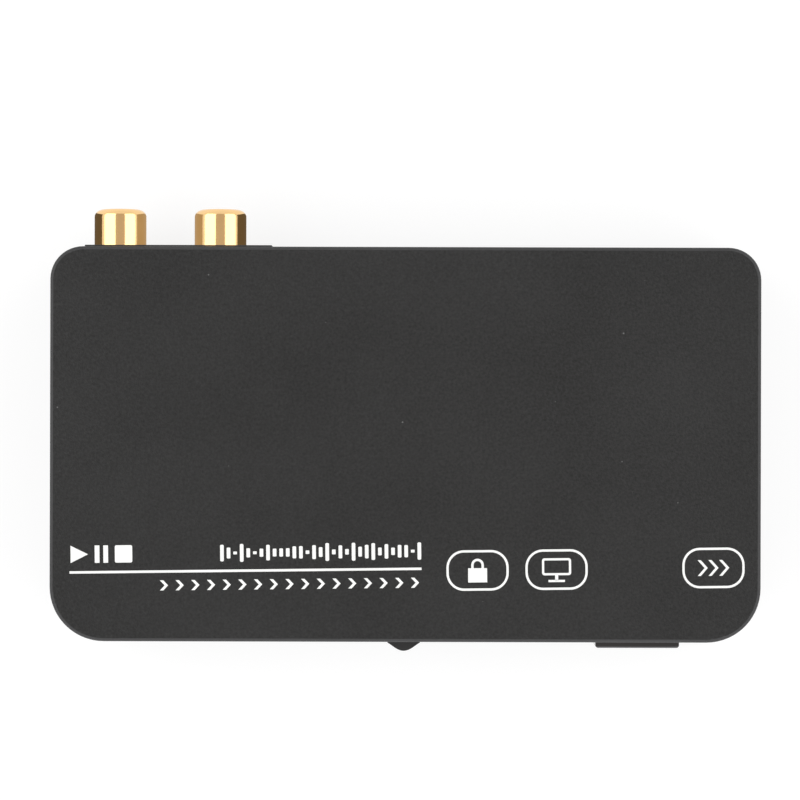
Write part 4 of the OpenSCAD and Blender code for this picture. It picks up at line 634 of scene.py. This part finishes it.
print("edges over", round(math.degrees(EDGE_ANGLE)), "degrees are rounded in", BEVEL_SEGMENTS, "steps")

# %% [markdown]
# A radius for each piece
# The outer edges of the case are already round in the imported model, so its own bevel only breaks the
# sharp edges of its openings. The rubber feet and the phono housing are softer, and most small parts
# have only a trace. One radius for all would make the small parts look like wax.

# %% Which radius each piece gets
BEVELS = {
    "top_shell": 0.04 * MM,
    "bottom_shell": 0.04 * MM,
    "rubber_feet": 0.15 * MM,
    "case_screws": 0.06 * MM,
    "rca_housing": 0.1 * MM,
    "mode_switch_knob": 0.06 * MM,
    "optical_socket_body": 0.05 * MM,
}
FINE_BEVEL = 0.03 * MM
TURNED = ("rca_sleeve_left", "rca_sleeve_right")
dressed = {name: dress(name, BEVELS.get(name, FINE_BEVEL)) for name in sorted(nodes) if name not in TURNED}
for name in sorted(BEVELS):
    print(name, len(dressed[name].data.polygons), "faces")

# %% [markdown]
# A test for folded faces
# A rounding may be wider than the room between two edges, for example between an opening in a wall and
# the roof's inner face. The modifier could clamp it, but then one tight spot would thin the rounding of
# the whole piece. So it isn't clamped, and the faces are measured instead: where one is folded, its
# triangles cover more than the face itself does.


# %% Is any face folded?
def fold_share(mesh):
    """By how much the triangles' surface exceeds the faces' own, as a share."""
    mesh.calc_loop_triangles()
    return sum(t.area for t in mesh.loop_triangles) / sum(p.area for p in mesh.polygons) - 1


folds = {name: fold_share(obj.data) for name, obj in dressed.items()}
most_folded = max(folds, key=folds.get)
print("most folded piece:", most_folded, round(folds[most_folded], 5))

# %% [markdown]
# Gold sleeves from the lathe
# A mirror shows every flat of the polygon that it is made of, so the two sleeves aren't bevelled copies.
# Their section is drawn once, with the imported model's own lengths, and spun round the socket's axis in
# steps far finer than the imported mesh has. The rolled lip is a quarter of an ellipse.

# %% The section of a sleeve
SLEEVE_SHEET = 0.5 * MM
SLEEVE_TAIL_STEP = 0.2 * MM
LIP_WIDTH = 1.5 * MM
LIP_LENGTH = 1.2 * MM
LIP_STEPS = 16


def sleeve_section(outer_r, tail_y, end_y):
    """The sleeve's section as radius and y: the tail, the outside, the lip and the inside."""
    tail_r = outer_r - SLEEVE_TAIL_STEP
    mouth_r = outer_r - LIP_WIDTH
    lip_y = end_y - LIP_LENGTH
    turns = [math.pi / 2 * i / LIP_STEPS for i in range(LIP_STEPS + 1)]
    lip = [(mouth_r + LIP_WIDTH * math.cos(t), lip_y + LIP_LENGTH * math.sin(t)) for t in turns]
    inner_r = outer_r - SLEEVE_SHEET
    tail_inner_r = tail_r - SLEEVE_SHEET
    inside = [(mouth_r, end_y - SLEEVE_SHEET), (inner_r, lip_y), (inner_r, housing_face_y + SLEEVE_SHEET),
              (tail_inner_r, housing_face_y), (tail_inner_r, tail_y)]
    return [(tail_r, tail_y), (tail_r, housing_face_y), (outer_r, housing_face_y)] + lip + inside


print("lip:", LIP_WIDTH / MM, "mm wide, in", LIP_STEPS, "steps")

# %% Sleeves, spun from that section
TURN_STEPS = 192
SMOOTH_ANGLE = math.radians(35)


def turned_sleeve(name):
    """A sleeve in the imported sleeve's own box, which takes its place."""
    low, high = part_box(name)
    axis_x, axis_z = (low.x + high.x) / 2, (low.z + high.z) / 2
    section = sleeve_section((high.x - low.x) / 2, low.y, high.y)
    bm = bmesh.new()
    ring = [bm.verts.new((axis_x + r, y, axis_z)) for r, y in section]
    edges = [bm.edges.new((ring[i], ring[(i + 1) % len(ring)])) for i in range(len(ring))]
    bmesh.ops.spin(bm, geom=ring + edges, cent=(axis_x, 0, axis_z), axis=(0, 1, 0), dvec=(0, 0, 0),
                   angle=2 * math.pi, steps=TURN_STEPS, use_merge=True)
    bmesh.ops.recalc_face_normals(bm, faces=bm.faces)
    mesh = bpy.data.meshes.new(name + "_finish")
    bm.to_mesh(mesh)
    bm.free()
    mesh.materials.append(finishes[slot_of_node[name]])
    mesh.shade_smooth()
    mesh.set_sharp_from_angle(angle=SMOOTH_ANGLE)
    sleeve = bpy.data.objects.new(name + "_finish", mesh)
    scene.collection.objects.link(sleeve)
    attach(sleeve, body_of_node[name])
    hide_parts(name)
    print(name, len(mesh.polygons), "faces")


for name in TURNED:
    turned_sleeve(name)

# %% [markdown]
# The print on the roof
# Pad printing lays a film of white ink a few hundredths of a millimetre thick on the finished moulding.
# It could be painted in the roof's material, but as thin meshes the signs keep crisp edges at any
# distance. The print on this box is turned by three quarters of a degree to the case, and so is
# everything here. Each sign is drawn flat, in millimetres, and one function raises it.

# %% Ink and a rounded rectangle
INK_THICKNESS = 0.03 * MM
PRINT_TURN = math.radians(0.75)
CORNER_STEPS = 10
SMALL_CORNER_STEPS = 4
print_place = Matrix.Translation((0, 0, roof_z)) @ Matrix.Rotation(PRINT_TURN, 4, "Z")
moulded("white_ink", linear(240, 240, 238), worn_and_highlight=linear(200, 200, 200), roughness=0.5,
        grain_size=0.25 * MM, grain_depth=0.006 * MM, speckle=0.12)


def rounded_rectangle(width, height, radius, steps):
    """The outline about the origin, counterclockwise."""
    points = []
    for corner, (sx, sy) in enumerate(((1, 1), (-1, 1), (-1, -1), (1, -1))):
        for i in range(steps + 1):
            angle = math.pi / 2 * (corner + i / steps)
            points.append((sx * (width / 2 - radius) + radius * math.cos(angle),
                           sy * (height / 2 - radius) + radius * math.sin(angle)))
    return points


# %% Flat shapes that become ink
class Print:
    """Collects flat shapes, each drawn about its own place, and raises them into one thin mesh."""

    def __init__(self):
        self.bm = bmesh.new()
        self.place = (0.0, 0.0)

    def at(self, u, v):
        """The place on the roof that the next shapes are drawn about."""
        self.place = (u, v)

    def corners(self, points):
        """The points as corners of the mesh."""
        u, v = self.place
        return [self.bm.verts.new((u + x, v + y, 0)) for x, y in points]

    def fill(self, points):
        """One face within the outline."""
        self.bm.faces.new(self.corners(points))

    def band(self, outer, inner):
        """The faces between two outlines of as many points."""
        rims = [self.corners(rim) for rim in (outer, inner)]
        for i in range(len(outer)):
            j = (i + 1) % len(outer)
            self.bm.faces.new([rims[0][i], rims[0][j], rims[1][j], rims[1][i]])

    def stroke(self, x0, y0, x1, y1, width):
        """A straight bar from one point to another."""
        along = Vector((x1 - x0, y1 - y0)).normalized()
        side = Vector((-along.y, along.x)) * width / 2
        self.fill([(x0 - side.x, y0 - side.y), (x1 - side.x, y1 - side.y),
                   (x1 + side.x, y1 + side.y), (x0 + side.x, y0 + side.y)])

    def finish(self, name):
        """Raises the shapes, puts them on the roof and makes the object."""
        faces = list(self.bm.faces)
        raised = bmesh.ops.extrude_face_region(self.bm, geom=faces)["geom"]
        lifted = [v for v in raised if isinstance(v, bmesh.types.BMVert)]
        bmesh.ops.translate(self.bm, verts=lifted, vec=(0, 0, INK_THICKNESS / MM))
        bmesh.ops.recalc_face_normals(self.bm, faces=self.bm.faces)
        bmesh.ops.scale(self.bm, vec=(MM, MM, MM), verts=self.bm.verts)
        bmesh.ops.transform(self.bm, matrix=print_place, verts=self.bm.verts)
        mesh = bpy.data.meshes.new(name)
        self.bm.to_mesh(mesh)
        self.bm.free()
        mesh.materials.append(finishes["white_ink"])
        obj = bpy.data.objects.new(name, mesh)
        scene.collection.objects.link(obj)
        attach(obj, "case")
        print(name, len(mesh.polygons), "faces")


print("ink is", INK_THICKNESS / MM, "mm thick")

# %% The long line and the three frames
LINE_FROM, LINE_TO, LINE_V, LINE_WIDTH = -53.3, 2.33, -19.67, 0.39
FRAME_PLACES = (11.19, 23.68, 48.48)
FRAME_V = -20.02
FRAME_W, FRAME_H, FRAME_CORNER_R, FRAME_STROKE = 9.84, 6.41, 2.77, 0.36

line = Print()
line.stroke(LINE_FROM, LINE_V, LINE_TO, LINE_V, LINE_WIDTH)
line.finish("print_line")

frames = Print()
frame_outside = rounded_rectangle(FRAME_W, FRAME_H, FRAME_CORNER_R, CORNER_STEPS)
frame_inside = rounded_rectangle(FRAME_W - 2 * FRAME_STROKE, FRAME_H - 2 * FRAME_STROKE,
                                 FRAME_CORNER_R - FRAME_STROKE, CORNER_STEPS)
for u in FRAME_PLACES:
    frames.at(u, FRAME_V)
    frames.band(frame_outside, frame_inside)
frames.finish("print_frames")

# %% [markdown]
# Signs inside the frames
# The frames hold a padlock, a screen and three chevrons. A font has such signs too, but a mesh of a few
# faces needs no font, and its strokes keep one width. The three lie in one mesh, because ink of one
# print has one finish.

# %% Padlock
LOCK_HALF, LOCK_LOW, LOCK_TOP = 1.5, -1.9, 0.35
SHACKLE_R, SHACKLE_STROKE, SHACKLE_LEG = 1.0, 0.38, 0.5
ARCH_STEPS = 16
LOCK_U, SCREEN_U, SPEED_U = FRAME_PLACES
signs = Print()
signs.at(LOCK_U, FRAME_V)
signs.fill([(-LOCK_HALF, LOCK_LOW), (LOCK_HALF, LOCK_LOW), (LOCK_HALF, LOCK_TOP), (-LOCK_HALF, LOCK_TOP)])
arch = [math.pi * i / ARCH_STEPS for i in range(ARCH_STEPS + 1)]
arch_y = LOCK_TOP + SHACKLE_LEG
arch_inner_r = SHACKLE_R - SHACKLE_STROKE
for a, b in zip(arch, arch[1:]):
    around = ((SHACKLE_R, a), (SHACKLE_R, b), (arch_inner_r, b), (arch_inner_r, a))
    signs.fill([(r * math.cos(t), arch_y + r * math.sin(t)) for r, t in around])
for side in (-1, 1):
    leg_x = side * (SHACKLE_R - SHACKLE_STROKE / 2)
    signs.stroke(leg_x, LOCK_TOP, leg_x, arch_y, SHACKLE_STROKE)
print("padlock drawn")

# %% Screen on its foot
SCREEN_W, SCREEN_H, SCREEN_STROKE, SCREEN_LIFT = 4.6, 2.7, 0.35, 0.45
SCREEN_CORNER_R, SCREEN_INNER_R = 0.4, 0.15
STEM_STROKE, STEM_END = 0.5, -1.7
FOOT_HALF, FOOT_Y = 1.3, -1.8
signs.at(SCREEN_U, FRAME_V + SCREEN_LIFT)
signs.band(rounded_rectangle(SCREEN_W, SCREEN_H, SCREEN_CORNER_R, SMALL_CORNER_STEPS),
           rounded_rectangle(SCREEN_W - 2 * SCREEN_STROKE, SCREEN_H - 2 * SCREEN_STROKE, SCREEN_INNER_R,
                             SMALL_CORNER_STEPS))
signs.at(SCREEN_U, FRAME_V)
signs.stroke(0, SCREEN_LIFT - SCREEN_H / 2, 0, STEM_END, STEM_STROKE)
signs.stroke(-FOOT_HALF, FOOT_Y, FOOT_HALF, FOOT_Y, SCREEN_STROKE)
print("screen drawn")

# %% Three chevrons
CHEVRON_HALF, CHEVRON_REACH, CHEVRON_STROKE, CHEVRON_PITCH = 1.25, 1.1, 0.5, 1.7
chevron = [(CHEVRON_REACH, 0), (0, -CHEVRON_HALF), (CHEVRON_STROKE, -CHEVRON_HALF),
           (CHEVRON_REACH + CHEVRON_STROKE, 0), (CHEVRON_STROKE, CHEVRON_HALF), (0, CHEVRON_HALF)]
for shift in (-CHEVRON_PITCH, 0, CHEVRON_PITCH):
    signs.at(SPEED_U - (CHEVRON_REACH + CHEVRON_STROKE) / 2 + shift, FRAME_V)
    signs.fill(chevron)
signs.finish("print_frame_signs")

# %% [markdown]
# Signs for playing, pausing and stopping
# These three stand at the left end, above the long line: a triangle, two bars and a square whose
# corners are a little rounded. They share one height, as a row of keys on a player does, and are drawn
# as faces, because so few corners need no curve.

# %% Triangle, bars and square
SIGNS_U, SIGNS_V, SIGN_H, SIGN_PITCH = -48.24, -16.82, 2.75, 3.5
PAUSE_SIDE, PAUSE_STROKE = 0.68, 0.75
STOP_CORNER_R = 0.25
SIGN_HALF = SIGN_H / 2
keys = Print()
keys.at(SIGNS_U - SIGN_PITCH, SIGNS_V)
keys.fill([(-SIGN_HALF, -SIGN_HALF), (SIGN_HALF, 0), (-SIGN_HALF, SIGN_HALF)])
keys.at(SIGNS_U, SIGNS_V)
for x in (-PAUSE_SIDE, PAUSE_SIDE):
    keys.stroke(x, -SIGN_HALF, x, SIGN_HALF, PAUSE_STROKE)
keys.at(SIGNS_U + SIGN_PITCH, SIGNS_V)
keys.fill(rounded_rectangle(SIGN_H, SIGN_H, STOP_CORNER_R, SMALL_CORNER_STEPS))
keys.finish("print_key_signs")

# %% [markdown]
# Rows of signs by Geometry Nodes
# A sound wave of upright bars and a row of small arrowheads are the same job: one flat sign, repeated along
# a line. A loop in Python would do, but a node tree keeps the count, the pitch and the heights as inputs
# that can be changed later. One tree serves both rows. It measures the wave from a noise with a fixed
# seed, raises the ink and turns the row into its place, and the result is turned into a plain mesh.

# %% The tree's inputs
ROW_INPUTS = {
    "Sign": "NodeSocketGeometry",
    "Count": "NodeSocketInt",
    "Pitch": "NodeSocketFloat",
    "Least Height": "NodeSocketFloat",
    "Seed": "NodeSocketInt",
    "Thickness": "NodeSocketFloat",
    "Place": "NodeSocketVector",
    "Turn": "NodeSocketVector",
    "Ink": "NodeSocketMaterial",
}
sign_row = bpy.data.node_groups.new("sign_row", "GeometryNodeTree")
for label, kind in ROW_INPUTS.items():
    sign_row.interface.new_socket(name=label, in_out="INPUT", socket_type=kind)
sign_row.interface.new_socket(name="Row", in_out="OUTPUT", socket_type="NodeSocketGeometry")
given = sign_row.nodes.new("NodeGroupInput").outputs
print("inputs:", [item.name for item in sign_row.interface.items_tree if item.in_out == "INPUT"])

# %% Points along the line, and how tall the sign is at each
WAVE_STEP = 0.37
WAVE_SCALE = 1.9
WAVE_LOW, WAVE_HIGH = 0.36, 0.62
last = maths(sign_row, "SUBTRACT", given["Count"], 1.0)
start_x = maths(sign_row, "MULTIPLY", maths(sign_row, "MULTIPLY", last, given["Pitch"]), -0.5)
start = add(sign_row, "ShaderNodeCombineXYZ", {"X": start_x})
step = add(sign_row, "ShaderNodeCombineXYZ", {"X": given["Pitch"]})
points = add(sign_row, "GeometryNodeMeshLine", {"Count": given["Count"], "Start Location": start.outputs[0],
                                                "Offset": step.outputs[0]})
index = add(sign_row, "GeometryNodeInputIndex").outputs[0]
spread = maths(sign_row, "MULTIPLY_ADD", index, WAVE_STEP, given["Seed"])
wave = add(sign_row, "ShaderNodeTexNoise", {"W": spread, "Scale": WAVE_SCALE, "Detail": 2.0},
           noise_dimensions="1D")
tall = add(sign_row, "ShaderNodeMapRange", {"Value": wave.outputs[0], "From Min": WAVE_LOW,
                                            "From Max": WAVE_HIGH, "To Min": given["Least Height"],
                                            "To Max": 1.0})
size = add(sign_row, "ShaderNodeCombineXYZ", {"X": 1.0, "Y": tall.outputs[0], "Z": 1.0})
print("line of points ready")

# %% The signs on the points, raised, placed and inked
row = add(sign_row, "GeometryNodeInstanceOnPoints", {"Points": points.outputs[0], "Instance": given["Sign"],
                                                     "Scale": size.outputs[0]})
plain = add(sign_row, "GeometryNodeRealizeInstances", {0: row.outputs[0]})
up = add(sign_row, "ShaderNodeCombineXYZ", {"Z": 1.0})
raised = add(sign_row, "GeometryNodeExtrudeMesh", {"Mesh": plain.outputs[0], "Offset": up.outputs[0],
                                                   "Offset Scale": given["Thickness"], "Individual": False})
placed = add(sign_row, "GeometryNodeTransform", {"Geometry": raised.outputs[0], "Rotation": given["Turn"],
                                                 "Translation": given["Place"]})
inked = add(sign_row, "GeometryNodeSetMaterial", {"Geometry": placed.outputs[0], "Material": given["Ink"]})
add(sign_row, "NodeGroupOutput", {0: inked.outputs[0]})
print(len(sign_row.nodes), "nodes in the tree")


# %% The two rows
def print_row(name, sign, u, v, **values):
    """The sign repeated along a line about u, v. The values are the tree's inputs."""
    row = sheet(name, [(x * MM, y * MM, 0) for x, y in sign])
    repeat = row.modifiers.new("repeat", "NODES")
    repeat.node_group = sign_row
    place = print_place @ Vector((u * MM, v * MM, 0))
    values.update(Thickness=INK_THICKNESS, Place=place, Turn=(0, 0, PRINT_TURN), Ink=finishes["white_ink"])
    for item in sign_row.interface.items_tree:
        label = item.name.replace(" ", "_")
        if label in values:
            repeat[item.identifier] = values[label]
    applied(row)
    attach(row, "case")
    print(name, len(row.data.polygons), "faces")


BAR_W, BAR_H, BAR_CORNER_R = 0.58, 2.84, 0.2
bar = rounded_rectangle(BAR_W, BAR_H, BAR_CORNER_R, SMALL_CORNER_STEPS)
print_row("print_sound_wave", bar, u=-13.58, v=-16.86, Count=31, Pitch=1.04 * MM,
          Least_Height=0.16, Seed=7)
ARROW_BACK, ARROW_NOTCH, ARROW_TIP, ARROW_HALF = -0.55, 0.2, 0.75, 0.8
arrowhead = [(ARROW_BACK, -ARROW_HALF), (0.0, -ARROW_HALF), (ARROW_TIP, 0.0),
             (0.0, ARROW_HALF), (ARROW_BACK, ARROW_HALF), (ARROW_NOTCH, 0.0)]
print_row("print_arrow_row", arrowhead, u=-18.66, v=-21.86, Count=17, Pitch=2.48 * MM,
          Least_Height=1.0, Seed=3)
